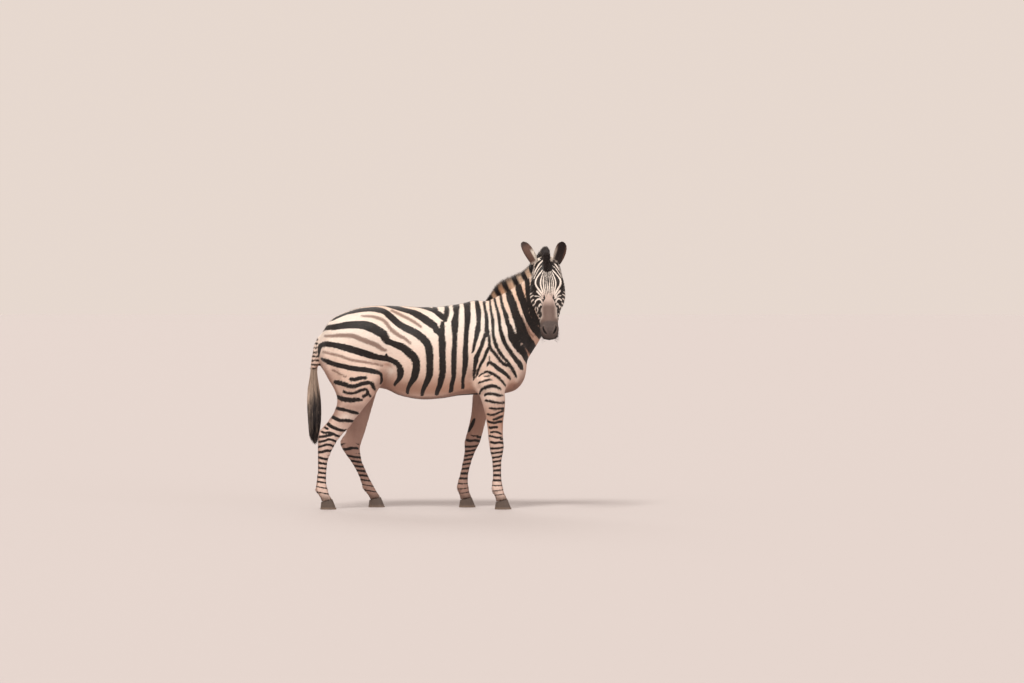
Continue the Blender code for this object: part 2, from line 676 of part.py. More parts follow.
def ear(name, root, tip, facing):
    """A cupped leaf: crescent sections, deepest at the root, closing to the rounded tip."""
    root, tip = np.array(root), np.array(tip)
    length = tip - root
    up = unit(length)
    front = unit(np.array(facing) - up * up.dot(facing))
    across = np.cross(up, front)
    t = np.sin(np.linspace(0.0, math.pi / 2, EAR_LENGTH_STEPS))[:, None]
    leaf = np.sqrt(np.clip(1 - ((t - EAR_WIDEST) / (1 - EAR_WIDEST)) ** 2, 0, 1))
    rise = EAR_ROOT_WIDTH + (1 - EAR_ROOT_WIDTH) * np.clip(t / EAR_WIDEST, 0, 1)
    half = EAR_HALF_WIDTH * np.where(t < EAR_WIDEST, rise, leaf) + 0.0015
    cup = EAR_CUP * (1 - 0.75 * t) * np.where(t < EAR_WIDEST, 1.0, leaf)
    wall = EAR_WALL * (1 - 0.45 * t)
    turn = np.linspace(0, 2 * math.pi, EAR_AROUND, endpoint=False)[None, :]
    reach = half * np.cos(turn)
    bowl = -cup * np.sin(turn) ** 2
    depth = bowl + np.where(np.sin(turn) < 0, wall * np.abs(np.sin(turn)), 0.0)
    lean = EAR_LEAN * np.sin(math.pi * t)
    points = (root + length * t[:, :, None] + across * reach[:, :, None]
              + front * (depth - lean)[:, :, None])
    return grid_object(name, points)


def leg_cell(kind, side, grow):
    """The space of one leg: below its cut from the trunk, on its own side of the midline."""
    front, back, down = (np.array([x, 0.0, z]) for x, z in LEG_CUTS[kind])
    along = back - front
    length = np.linalg.norm(along)
    along = along / length
    below = np.array([along[2], 0.0, -along[0]])
    below = below * np.sign(below.dot(down))
    outward = np.array([0.0, side, 0.0])
    corner = front + (below + outward) * grow
    sizes = (LEG_CELL_DEPTH, length, LEG_CELL_WIDTH)
    return block("leg_cell", corner, (unit(down), along, outward), sizes)


def make_hoof(name, leg, rows, kind, side):
    """A hoof under the coronet plane, which is higher at the toe; the leg is cut there too."""
    heel, toe, _ = CORONET[kind]
    middle = np.array([(rows[-1][1] + heel + rows[-1][2] + toe) / 2, side * rows[-1][3], CORONET_Z])
    normal = np.array([math.sin(CORONET_TILT), 0.0, -math.cos(CORONET_TILT)])
    under, under_wide = (half_space("under", middle + normal * grow, normal, HOOF_CELL, HOOF_CELL)
                         for grow in (GAP / 2, -GAP / 2))
    hoof = loft(name, hoof_rows(rows, kind, side), STEPS["hoof"], AROUND["hoof"])
    trim(hoof, under, "INTERSECT")
    trim(leg, under_wide, "DIFFERENCE")
    largest_body(leg)
    drop(under, under_wide)
    return hoof


def move_to_origin():
    """Put the origin on the floor, under the middle of the whole model."""
    corners = []
    for item in bpy.data.objects:
        corners += [vertex.co for vertex in item.data.vertices]
    corners = np.array(corners)
    middle = (corners.min(axis=0) + corners.max(axis=0)) / 2
    for item in bpy.data.objects:
        item.data.transform(Matrix.Translation((-middle[0], -middle[1], 0.0)))


def part_head_neck(skin):
    """Cut the head and the neck off the skin; the rest is given back."""
    way = unit(np.array(NECK_WAY))
    near, wide = (half_space("neck_cell", np.array(NECK_CUT) + way * grow, way,
                             NECK_CELL_REACH, NECK_CELL_WIDTH) for grow in (GAP / 2, -GAP / 2))
    front, body = part_by_cells(skin, "front", "body", near, wide)
    near, wide = (block("head_cell", np.array(THROAT) - (0.0, grow, 0.0),
                        (JAW_WAY, (1.0, 0.0, 0.0), NAPE_WAY), HEAD_CELL)
                  for grow in (GAP / 2, -GAP / 2))
    head, neck = part_by_cells(front, "head", "neck", near, wide)
    return head, neck, body


def part_legs(body):
    """Cut the legs off the body and shoe each with its hoof; the rest is given back."""
    for name, (rows, kind, side) in LEGS.items():
        near, wide = (leg_cell(kind, side, grow) for grow in (GAP / 2, -GAP / 2))
        leg, body = part_by_cells(body, name, "body", near, wide)
        hoof = make_hoof(name.replace("leg", "_hoof"), leg, rows, kind, side)
        finish(hoof, "hoof")
        finish(leg, "coat")
    return body


def add_eyes(head):
    """Eyes in sockets of the head."""
    for name, side in (("eye_left", 1), ("eye_right", -1)):
        centre = in_head((EYE_PLACE[0], EYE_PLACE[1], side * EYE_PLACE[2]))
        eye = ball(name, centre, [EYE_RADIUS] * 3, axes=head_frame()[1], rings=7)
        socket = swollen(eye, "socket", GAP)
        trim(head, socket, "DIFFERENCE")
        drop(socket)
        finish(eye, "eye")


def add_long_hair(outer, ears):
    """Mane, forelock and the tail with its tuft, all clear of the skin."""
    ridge = [(*tip, *foot, half, 0.45, 2.4, 2.4) for foot, tip, half in MANE]
    mane = loft("mane", ridge, STEPS["mane"], AROUND["mane"])
    stands_clear(mane, outer)
    lock = [(*in_head((tip, high, 0)), *in_head((root, low, 0)), half, 0.5, 2.2, 2.2)
            for tip, high, root, low, half in FORELOCK]
    forelock = loft("forelock", lock, STEPS["forelock"], AROUND["forelock"])
    stands_clear(forelock, outer, mane, *ears)
    tuft = loft("tail_tuft", column_rows(TUFT), STEPS["tuft"], AROUND["tuft"])
    tail = loft("tail", column_rows(DOCK), STEPS["tail"], AROUND["tail"])
    stands_clear(tail, outer, tuft)
    finish(tail, "coat")
    for item in (mane, forelock, tuft):
        finish(item, "mane")


def build():
    clear_scene()
    skin = whole_skin()
    outer = copy_of(skin, "outer")
    head, neck, body = part_head_neck(skin)
    trunk = part_legs(body)
    trunk.name = "trunk"
    add_eyes(head)
    for item in (head, neck, trunk):
        finish(item, "coat")
    ears = [ear(name, *place) for name, place in EARS.items()]
    for item in ears:
        stands_clear(item, outer)
        finish(item, "coat")
    add_long_hair(outer, ears)
    drop(outer)
    move_to_origin()


build()
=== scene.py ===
import math

import bmesh
import bpy
import numpy as np
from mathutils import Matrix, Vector


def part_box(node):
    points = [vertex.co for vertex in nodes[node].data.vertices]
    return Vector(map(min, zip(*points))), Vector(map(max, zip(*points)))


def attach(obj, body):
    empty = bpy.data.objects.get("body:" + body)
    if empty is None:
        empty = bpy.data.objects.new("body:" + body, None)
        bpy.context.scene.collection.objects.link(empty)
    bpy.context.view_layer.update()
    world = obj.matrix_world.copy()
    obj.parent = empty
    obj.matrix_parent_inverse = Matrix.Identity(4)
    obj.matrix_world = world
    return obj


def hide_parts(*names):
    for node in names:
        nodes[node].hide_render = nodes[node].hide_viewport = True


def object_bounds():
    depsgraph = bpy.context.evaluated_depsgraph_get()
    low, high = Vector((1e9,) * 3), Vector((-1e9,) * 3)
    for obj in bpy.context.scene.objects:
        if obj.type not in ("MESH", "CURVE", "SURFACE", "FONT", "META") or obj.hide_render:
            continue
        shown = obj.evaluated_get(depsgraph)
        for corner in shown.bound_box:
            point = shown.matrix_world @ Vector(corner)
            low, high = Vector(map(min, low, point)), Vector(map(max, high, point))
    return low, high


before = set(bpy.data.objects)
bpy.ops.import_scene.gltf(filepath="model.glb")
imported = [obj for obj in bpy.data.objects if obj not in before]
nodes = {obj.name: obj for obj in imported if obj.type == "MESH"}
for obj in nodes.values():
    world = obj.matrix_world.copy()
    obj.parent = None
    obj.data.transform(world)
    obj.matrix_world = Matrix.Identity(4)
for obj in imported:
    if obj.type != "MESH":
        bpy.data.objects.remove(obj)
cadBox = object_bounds()
rng = np.random.default_rng(23)
fleshNodes = ["head", "neck", "trunk", "foreleg_left", "foreleg_right", "hindleg_left",
              "hindleg_right", "tail"]
earNodes = ["ear_left", "ear_right"]


# ---- small helpers for arrays

def unit(vectors):
    return vectors / np.maximum(np.linalg.norm(vectors, axis=-1, keepdims=True), 1e-12)


def smoothStep(value, low, high):
    t = np.clip((value - low) / (high - low), 0, 1)
    return t * t * (3 - 2 * t)


def bell(value, width):
    return np.exp(-(value / width) ** 2)


def smoothRows(rows, steps):
    # a Catmull-Rom curve through rows of numbers, read at even steps
    rows = np.array(rows, dtype=float)
    padded = np.vstack([2 * rows[0] - rows[1], rows, 2 * rows[-1] - rows[-2]])
    place = np.linspace(0.0, len(rows) - 1.0, steps)
    span = np.minimum(place.astype(int), len(rows) - 2)
    t = (place - span)[:, None]
    a, b, c, d = (padded[span + k] for k in range(4))
    return 0.5 * (2 * b + (c - a) * t + (2 * a - 5 * b + 4 * c - d) * t ** 2
                  + (3 * b - a - 3 * c + d) * t ** 3)


def ripple(points, scale, seed):
    # a slow, smooth, repeatable waver between about -1 and 1: three sines of turned directions
    draw = np.random.default_rng(seed)
    ways = draw.normal(size=(3, points.shape[1])) * scale
    return np.sin(points @ ways.T + draw.uniform(0, 6.3, 3)).sum(axis=1) / 2.2


def readPoints(mesh, what="co"):
    values = np.empty(len(mesh.vertices) * 3)
    mesh.vertices.foreach_get(what, values)
    return values.reshape(-1, 3)


def writePoints(mesh, points):
    mesh.vertices.foreach_set("co", np.ascontiguousarray(points, dtype=np.float32).ravel())
    mesh.update()


def newObject(name, mesh):
    item = bpy.data.objects.new(name, mesh)
    bpy.context.scene.collection.objects.link(item)
    return item


def fillMesh(mesh, points, corners, sizes):
    # corners lists the points round each face in turn, and sizes how many each face has
    mesh.vertices.add(len(points))
    mesh.loops.add(len(corners))
    mesh.polygons.add(len(sizes))
    mesh.vertices.foreach_set("co", np.ascontiguousarray(points, dtype=np.float32).ravel())
    mesh.loops.foreach_set("vertex_index", corners.astype(np.int32))
    mesh.polygons.foreach_set("loop_start", (np.cumsum(sizes) - sizes).astype(np.int32))
    mesh.update(calc_edges=True)


def meshFrom(name, points, faces):
    # faces is a list of arrays, each of faces with one number of corners
    mesh = bpy.data.meshes.new(name)
    fillMesh(mesh, points, np.concatenate([part.ravel() for part in faces]),
             np.concatenate([np.full(len(part), part.shape[1]) for part in faces]))
    mesh.validate()
    return mesh


def gridMesh(name, rows, closed=True, caps=True):
    # rows of points: each row is a ring, or a line if not closed; rings can have flat ends
    count, around = rows.shape[:2]
    step = np.arange(around if closed else around - 1)
    after = (step + 1) % around
    low = (np.arange(count - 1) * around)[:, None]
    quads = np.stack([low + step, low + after, low + around + after, low + around + step], -1)
    faces = [quads.reshape(-1, 4)]
    if closed and caps:
        faces.append(np.arange(around)[None, ::-1])
        faces.append(np.arange((count - 1) * around, count * around)[None, :])
    return meshFrom(name, rows.reshape(-1, 3), faces)


def edited(mesh, change):
    shell = bmesh.new()
    shell.from_mesh(mesh)
    change(shell)
    shell.to_mesh(mesh)
    shell.free()


def faceOut(mesh):
    edited(mesh, lambda shell: bmesh.ops.recalc_face_normals(shell, faces=shell.faces))


def mergeDoubles(mesh):
    edited(mesh, lambda shell: bmesh.ops.remove_doubles(shell, verts=shell.verts, dist=1e-5))


def freeze(item):
    graph = bpy.context.evaluated_depsgraph_get()
    mesh = bpy.data.meshes.new_from_object(item.evaluated_get(graph))
    item.modifiers.clear()
    item.data = mesh


def setFloats(mesh, name, values):
    layer = mesh.attributes.new(name, "FLOAT", "POINT")
    layer.data.foreach_set("value", values.astype(np.float32))


def setColours(mesh, name, values):
    layer = mesh.attributes.new(name, "FLOAT_COLOR", "POINT")
    four = np.ones((len(values), 4), dtype=np.float32)
    four[:, :3] = values
    layer.data.foreach_set("color", four.ravel())


def tone(red, green, blue):
    # a colour given as it looks, 0 to 255, in the numbers that shaders use
    value = np.array([red, green, blue]) / 255
    return np.where(value <= 0.04045, value / 12.92, ((value + 0.055) / 1.055) ** 2.4)


# ---- materials: sums on sockets

class Wire:
    # an output socket that can be used in sums; each sum adds a Math node
    def __init__(self, paint, socket):
        self.paint, self.socket = paint, socket

    def math(self, operation, *values):
        sockets = dict(enumerate((self,) + values))
        return self.paint.node("ShaderNodeMath", {"operation": operation}, sockets)

    def __add__(self, other):
        return self.math("ADD", other)

    __radd__ = __add__

    def __mul__(self, other):
        return self.math("MULTIPLY", other)

    __rmul__ = __mul__

    def __sub__(self, other):
        return self.math("SUBTRACT", other)

    def __rsub__(self, other):
        return self.paint.node("ShaderNodeMath", {"operation": "SUBTRACT"}, {0: other, 1: self})

    def between(self, low, high):
        # 0 at low, 1 at high, smooth in between
        return self.paint.node("ShaderNodeMapRange", {"interpolation_type": "SMOOTHSTEP"},
                               {"Value": self, "From Min": low, "From Max": high})


class Paint:
    # a material with a Principled shader, and one way to add any other node
    def __init__(self, name, **constants):
        self.material = bpy.data.materials.new(name)
        self.material.use_nodes = True
        self.tree = self.material.node_tree
        self.shader = self.tree.nodes["Principled BSDF"]
        for key, value in constants.items():
            self.shader.inputs[key.replace("_", " ")].default_value = value

    def node(self, kind, settings=(), sockets=(), out=0):
        made = self.tree.nodes.new(kind)
        for key, value in dict(settings).items():
            setattr(made, key, value)
        for key, value in dict(sockets).items():
            self.feed(made.inputs[key], value)
        return Wire(self, made.outputs[out])

    def feed(self, socket, value):
        if isinstance(value, Wire):
            self.tree.links.new(value.socket, socket)
        elif isinstance(value, np.ndarray) and len(value) == 3 and socket.type == "RGBA":
            socket.default_value = (*value, 1.0)
        else:
            socket.default_value = value

    def into(self, **inputs):
        for key, value in inputs.items():
            self.feed(self.shader.inputs[key.replace("_", " ")], value)

    def mix(self, factor, first, second, blend="MIX"):
        return self.node("ShaderNodeMix", {"data_type": "RGBA", "blend_type": blend},
                         {0: factor, 6: first, 7: second}, 2)

    def attribute(self, name, out="Fac"):
        return self.node("ShaderNodeAttribute", {"attribute_name": name}, out=out)

    def noise(self, scale, stretch=(1, 1, 1), detail=2.0):
        place = self.node("ShaderNodeTexCoord", out="Object")
        place = self.node("ShaderNodeMapping", {}, {"Vector": place, "Scale": stretch})
        return self.node("ShaderNodeTexNoise", {},
                         {"Vector": place, "Scale": scale, "Detail": detail})

    def bump(self, height, strength, distance):
        return self.node("ShaderNodeBump", {},
                         {"Height": height, "Strength": strength, "Distance": distance})


# ---- where things are, from the frame

def middleOf(node):
    low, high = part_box(node)
    return (np.array(low) + np.array(high)) / 2


trunkLow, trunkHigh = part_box("trunk")
midY = (trunkLow.y + trunkHigh.y) / 2
eyeLeft, eyeRight = middleOf("eye_left"), middleOf("eye_right")

headFacts = {
    "slope": 27.0,       # degrees of the face line from the vertical
    "lean": 0.042,       # sideways drift of the face line, per metre
    "eyeDown": 0.18,     # the eyes' place down from the poll
    "eyeIn": 0.044,      # and behind the face line
    "eyeApart": 0.0905,  # each eye from the middle of the head
}
slope = math.radians(headFacts["slope"])
faceDown = unit(np.array([headFacts["lean"], -math.sin(slope), -math.cos(slope)]))
faceLeft = unit(eyeLeft - eyeRight)
faceFront = np.cross(faceDown, faceLeft)
poll = ((eyeLeft + eyeRight) / 2 - headFacts["eyeDown"] * faceDown
        + headFacts["eyeIn"] * faceFront)
headAxes = np.stack([faceDown, faceFront, faceLeft])


def toHead(points):
    # down from the poll, out of the face, to the animal's left
    return (points - poll) @ headAxes.T


def fromHead(places):
    return poll + np.asarray(places, dtype=float) @ headAxes


def eyeDistance(points):
    return np.minimum(np.linalg.norm(points - eyeLeft, axis=1),
                      np.linalg.norm(points - eyeRight, axis=1))


# The middle plane of the neck: crest and throat points from the trunk to the head.
neckPlane = [
    ((-0.8, midY, 1.2), (-0.8, midY, 0.7)),
    ((0.0, midY, 1.255), (0.0, midY, 0.69)),
    ((0.23, midY, 1.26), (0.44, midY, 0.78)),
    ((0.321, midY, 1.296), (0.56, midY, 0.915)),
    ((0.43, 0.095, 1.35), (0.612, 0.097, 1.0)), ((0.53, 0.052, 1.412), (0.663, 0.059, 1.1)),
    ((0.61, -0.018, 1.474), (0.696, 0.002, 1.208)), ((0.662, -0.088, 1.532), (0.71, -0.043, 1.312)),
    ((0.682, -0.148, 1.56), (0.706, -0.083, 1.385)),
]
planeRows = smoothRows([crest + throat for crest, throat in neckPlane], 161)
planeMiddle = (planeRows[:, :3] + planeRows[:, 3:]) / 2
planeUp = unit(planeRows[:, :3] - planeRows[:, 3:])
planeAlong = unit(np.gradient(planeMiddle, axis=0))
planeSide = unit(np.cross(planeUp, planeAlong))


def nearestRow(points, rows):
    found = np.empty(len(points), dtype=int)
    for start in range(0, len(points), 20000):
        part = points[start:start + 20000]
        gaps = ((part[:, None, :] - rows[None, :, :]) ** 2).sum(axis=2)
        found[start:start + 20000] = gaps.argmin(axis=1)
    return found


def fold(points):
    # brings the left side onto the right one through the middle plane; also says how far left
    row = nearestRow(points, planeMiddle)
    left = ((points - planeMiddle[row]) * planeSide[row]).sum(axis=1)
    return points - 2 * np.maximum(left, 0)[:, None] * planeSide[row], left, row


# Legs: height, back and front of the lower leg, for the middle line.
legLines = {
    "hindRight": [(0.9, -0.7, -0.332), (0.736, -0.629, -0.367), (0.612, -0.632, -0.463),
                  (0.506, -0.712, -0.54), (0.44, -0.737, -0.606), (0.35, -0.738, -0.656),
                  (0.22, -0.74, -0.682), (0.128, -0.751, -0.676), (0.0, -0.715, -0.625)],
    "hindLeft": [(0.9, -0.7, -0.332), (0.724, -0.61, -0.373), (0.618, -0.572, -0.405),
                 (0.505, -0.562, -0.437), (0.4, -0.606, -0.472), (0.326, -0.567, -0.476),
                 (0.22, -0.5, -0.438), (0.128, -0.466, -0.392), (0.0, -0.42, -0.33)],
    "foreRight": [(0.9, 0.24, 0.45), (0.72, 0.264, 0.426), (0.556, 0.309, 0.418),
                  (0.392, 0.329, 0.421), (0.3, 0.346, 0.407), (0.165, 0.346, 0.41),
                  (0.072, 0.366, 0.438), (0.0, 0.362, 0.468)],
    "foreLeft": [(0.9, 0.24, 0.45), (0.72, 0.228, 0.392), (0.556, 0.21, 0.312),
                 (0.398, 0.172, 0.268), (0.3, 0.164, 0.223), (0.165, 0.133, 0.196),
                 (0.072, 0.142, 0.214), (0.0, 0.138, 0.244)],
}


def legMiddle(leg, height):
    rows = np.array(legLines[leg])[::-1]
    return np.interp(height, rows[:, 0], (rows[:, 1] + rows[:, 2]) / 2)


# ---- the skin

skinFacts = {
    "grow": 0.0004,        # swells the pieces over the thin cuts between them
    "voxel": 0.0125,
    "rounds": 5,       # smoothing everywhere,
    "bodyRounds": 70,  # and more on the broad parts of the body
    "coatDepth": 0.0015,
    "faceDepth": 0.0008,
    "drawnReach": 0.0154,  # places this near the sides of the box are drawn in, for the coat,
    "drawIn": 0.11,        # by this share of how far they reach into that strip
}


def neighbours(mesh):
    ends = np.empty(len(mesh.edges) * 2, dtype=np.int64)
    mesh.edges.foreach_get("vertices", ends)
    return ends[0::2], ends[1::2]


def relax(mesh, rounds, weight=1.0, shrink=0.5, swell=-0.52):
    # each round pulls every point towards its neighbours' middle, then pushes it back out
    points = readPoints(mesh)
    one, two = neighbours(mesh)
    count = len(points)
    valence = np.maximum(np.bincount(np.concatenate([one, two]), minlength=count), 1)[:, None]
    for step in range(2 * rounds):
        total = np.stack([np.bincount(one, points[two, k], count)
                          + np.bincount(two, points[one, k], count) for k in range(3)], 1)
        points = points + (shrink if step % 2 == 0 else swell) * weight * (total / valence - points)
    writePoints(mesh, points)


def mergedCopies(names):
    whole = bmesh.new()
    for name in names:
        part = bmesh.new()
        part.from_mesh(nodes[name].data)
        bmesh.ops.remove_doubles(part, verts=part.verts, dist=1e-5)
        mesh = bpy.data.meshes.new("part")
        part.to_mesh(mesh)
        part.free()
        writePoints(mesh, readPoints(mesh) + readPoints(mesh, "normal") * skinFacts["grow"])
        whole.from_mesh(mesh)
        bpy.data.meshes.remove(mesh)
    mesh = bpy.data.meshes.new("zebra_skin")
    whole.to_mesh(mesh)
    whole.free()
    return mesh


earFacts = {
    "left": {"root": (0.7375, -0.15, 1.512), "tip": (0.787, -0.184, 1.665),
             "facing": (-0.1, -0.95, 0.2)},
    "right": {"root": (0.623, -0.15, 1.508), "tip": (0.5345, -0.155, 1.663),
              "facing": (-0.62, 0.78, 0.1)},
    "halfWidth": 0.038,
    "cup": 0.03,
    "wall": 0.0052,
    "widest": 0.52,
}


def earAxes(side):
    # an ear's root and tip, and its directions up, out of its opening, and across
    root, tip, facing = (np.array(earFacts[side][key]) for key in ("root", "tip", "facing"))
    up = unit(tip - root)
    front = unit(facing - up * up.dot(facing))
    return root, tip, up, front, np.cross(up, front)


def earRows(side, across=44, along=46):
    # a cupped leaf: at each height an ellipse-like crescent, deepest at the root, whose width
    # follows a rounded leaf outline, with a thin wall and rims that roll inwards near the root
    root, tip, _, front, sideways = earAxes(side)
    t = np.sin(np.linspace(0, math.pi / 2, along) * 0.998)[:, None]
    widest = earFacts["widest"]
    leaf = np.sqrt(np.clip(1 - np.abs((t - widest) / (1 - widest)) ** 2.2, 0, 1))
    half = earFacts["halfWidth"] * np.where(t < widest, 0.52 + 0.48 * np.sin(
        np.clip(t / widest, 0, 1) * math.pi / 2), leaf) + 0.0008
    cup = earFacts["cup"] * (1 - 0.72 * t) * np.where(t < widest, 1.0, leaf)
    wall = earFacts["wall"] * (1 - 0.45 * t)
    turn = np.linspace(0, 2 * math.pi, across, endpoint=False)[None, :]
    reach = half * np.cos(turn) * (1 - 0.16 * (1 - t) * np.abs(np.cos(turn)) ** 6)
    depth = -cup * np.sin(turn) ** 2 + np.where(np.sin(turn) < 0, wall * np.abs(np.sin(turn)), 0)
    lean = 0.010 * np.sin(math.pi * t)
    return (root + (tip - root) * t[:, :, None] + sideways * reach[:, :, None]
            + front * (depth - lean)[:, :, None])


def cleanJoins(mesh):
    # after a join, faces of more than four sides become triangles, so that they split cleanly
    edited(mesh, lambda shell: bmesh.ops.triangulate(
        shell, faces=[face for face in shell.faces if len(face.verts) > 4]))


def splitFaces(mesh, chosen):
    # a chosen face is cut from its middle to the middles of its sides, and a face beside one
    # from its middle to its corners and to the cut sides' middles, so the skin stays closed
    count = len(mesh.loops)
    vertex, edge = np.empty(count, dtype=np.int32), np.empty(count, dtype=np.int32)
    mesh.loops.foreach_get("vertex_index", vertex)
    mesh.loops.foreach_get("edge_index", edge)
    start, total = (np.empty(len(mesh.polygons), dtype=np.int32) for _ in range(2))
    mesh.polygons.foreach_get("loop_start", start)
    mesh.polygons.foreach_get("loop_total", total)
    ends = np.empty(len(mesh.edges) * 2, dtype=np.int32)
    mesh.edges.foreach_get("vertices", ends)
    ends = ends.reshape(-1, 2)
    face = np.repeat(np.arange(len(total)), total)
    split, touched = np.zeros(len(ends), dtype=bool), np.zeros(len(total), dtype=bool)
    split[edge[chosen[face]]] = True
    touched[face[split[edge]]] = True
    points, centres = readPoints(mesh), faceMiddles(mesh)
    onEdge = len(points) + np.cumsum(split) - 1
    inFace = len(points) + split.sum() + np.cumsum(touched) - 1
    place = np.arange(count)
    after = vertex[np.where(place + 1 == (start + total)[face], start[face], place + 1)]
    before = onEdge[edge[np.where(place == start[face], (start + total)[face] - 1, place - 1)]]
    half, centre = onEdge[edge], inFace[face]
    inside, beside = chosen[face], touched[face] & ~chosen[face]
    cut, whole = beside & split[edge], beside & ~split[edge]
    quads = np.stack([vertex, half, centre, before], 1)[inside]
    triangles = np.concatenate([np.stack([vertex, half, centre], 1)[cut],
                                np.stack([half, after, centre], 1)[cut],
                                np.stack([vertex, after, centre], 1)[whole]])
    corners = np.concatenate([vertex[~touched[face]], quads.ravel(), triangles.ravel()])
    sizes = np.concatenate([total[~touched], np.full(len(quads), 4), np.full(len(triangles), 3)])
    points = np.concatenate([points, points[ends].mean(axis=1)[split], centres[touched]])
    mesh.clear_geometry()
    fillMesh(mesh, points, corners, sizes)


def faceMiddles(mesh):
    middles = np.empty(len(mesh.polygons) * 3)
    mesh.polygons.foreach_get("center", middles)
    return middles.reshape(-1, 3)


def inHead(places):
    return ((places[:, 0] > -0.03) & (places[:, 0] < 0.56) & (places[:, 1] > -0.25)
            & (np.abs(places[:, 2]) < 0.13))


def makeSkin():
    mesh = mergedCopies(fleshNodes)
    skin = newObject("zebra_skin", mesh)
    weld = skin.modifiers.new("weld", "REMESH")
    weld.mode = "VOXEL"
    weld.voxel_size = skinFacts["voxel"]
    freeze(skin)
    mesh = skin.data
    points = readPoints(mesh)
    places = toHead(points)
    head = (smoothStep(places[:, 0], -0.1, 0.02) * smoothStep(places[:, 1], -0.26, -0.2))
    lowLegs = 1 - smoothStep(points[:, 2], 0.62, 0.78)
    dock = 1 - smoothStep(points[:, 0], -0.755, -0.715)
    broad = (1 - head) * (1 - lowLegs) * (1 - dock)
    relax(mesh, skinFacts["rounds"])
    relax(mesh, skinFacts["bodyRounds"], broad[:, None])
    print("skin: welded and smoothed,", len(mesh.polygons), "faces")

    for side in ("left", "right"):
        ear = newObject("ear", gridMesh("ear", earRows(side)))
        faceOut(ear.data)
        cut = skin.modifiers.new("join", "BOOLEAN")
        cut.operation = "UNION"
        cut.solver = "MANIFOLD"
        cut.object = ear
        freeze(skin)
        bpy.data.objects.remove(ear)
    mesh = skin.data
    cleanJoins(mesh)
    print("skin: ears joined,", len(mesh.polygons), "faces")
    return skin


def earPlaces(points):
    # how far up an ear a point is, from 0 at the root to 1 at the tip, or -1 if it isn't on one
    found = np.full(len(points), -1.0)
    for side in ("left", "right"):
        root, tip = earAxes(side)[:2]
        t = (points - root) @ (tip - root) / ((tip - root) @ (tip - root))
        away = np.linalg.norm(points - root - np.clip(t, 0, 1)[:, None] * (tip - root), axis=1)
        found = np.where((away < 0.044) & (t > 0.12), np.maximum(found, t), found)
    return found


def refine(skin):
    # the mesh is finest round the eyes and on the muzzle, then on the face, then on the legs
    mesh = skin.data
    eyesAt = [fromHead((headFacts["eyeDown"], -headFacts["eyeIn"], side * headFacts["eyeApart"]))
              for side in (-1, 1)]
    for level in range(3):
        middles = faceMiddles(mesh)
        places = toHead(middles)
        s, u = places[:, 0], places[:, 1]
        chosen = inHead(places) & (earPlaces(middles) < 0.12)
        if level == 0:
            chosen |= (middles[:, 2] < 0.6) & (middles[:, 2] > 0.03) & (middles[:, 0] > -0.765)
        if level == 1:
            chosen &= (s > 0.08) & (u > -0.115)
        if level == 2:
            nearEye = np.min([np.linalg.norm(middles - eye, axis=1) for eye in eyesAt], axis=0)
            chosen &= (nearEye < 0.034) | ((s > 0.445) & (u > -0.11))
        splitFaces(mesh, chosen)
        points = readPoints(mesh)
        near = inHead(toHead(points)) | (points[:, 2] < 0.62)
        soft = near & (earPlaces(points) < 0.08)
        relax(mesh, 3, soft.astype(float)[:, None])
    print("skin: refined,", len(mesh.polygons), "faces")


skin = makeSkin()
refine(skin)

# ---- shaping the skin: each row swells (or, below nought, presses in) along a route

# Routes on the right side in x and z, each point with its half width; then how much.
bodyShapes = [
    ([(-0.335, 1.185, 0.04), (-0.35, 1.12, 0.05)], 0.006),                     # hip
    ([(-0.3, 0.88, 0.016), (-0.322, 0.82, 0.014), (-0.345, 0.775, 0.012)], -0.007),  # flank
    ([(-0.35, 0.86, 0.022), (-0.372, 0.8, 0.022)], 0.006),                     # stifle
    ([(-0.235, 0.93, 0.05), (-0.245, 0.85, 0.04)], -0.006),                    # hollow of it
    ([(-0.655, 0.98, 0.018), (-0.63, 0.86, 0.018), (-0.59, 0.76, 0.015)], -0.0045),
    ([(-0.56, 0.9, 0.045), (-0.54, 0.8, 0.04)], 0.005),                     # thigh
    ([(-0.47, 0.64, 0.024), (-0.545, 0.56, 0.016)], 0.004),                     # gaskin
    ([(0.33, 1.24, 0.016), (0.4, 1.12, 0.018), (0.455, 0.99, 0.018)], 0.0045),  # blade
    ([(0.245, 1.18, 0.03), (0.235, 1.05, 0.03), (0.25, 0.93, 0.022)], -0.0065),
    ([(0.31, 1.02, 0.05), (0.315, 0.93, 0.045)], 0.006),                       # triceps
    ([(0.262, 0.85, 0.014), (0.25, 0.8, 0.014), (0.262, 0.76, 0.012)], -0.006),  # elbow
    ([(0.29, 0.79, 0.022), (0.3, 0.77, 0.022)], 0.005), ([(0.38, 0.9, 0.014), (0.44, 0.85, 0.016),
    (0.47, 0.78, 0.014)], -0.005),
    ([(0.5, 0.86, 0.045), (0.52, 0.83, 0.04)], 0.0045),                       # breast
    ([(0.64, 1.3, 0.012), (0.6, 1.17, 0.014), (0.555, 1.04, 0.016)], -0.006),  # jugular
    ([(0.56, 1.33, 0.03), (0.5, 1.23, 0.04), (0.43, 1.15, 0.04)], -0.0035),
    ([(0.395, 0.64, 0.012), (0.38, 0.56, 0.01)], -0.0025),                      # forearm
    ([(0.352, 0.665, 0.02), (0.358, 0.6, 0.016)], 0.003),
]
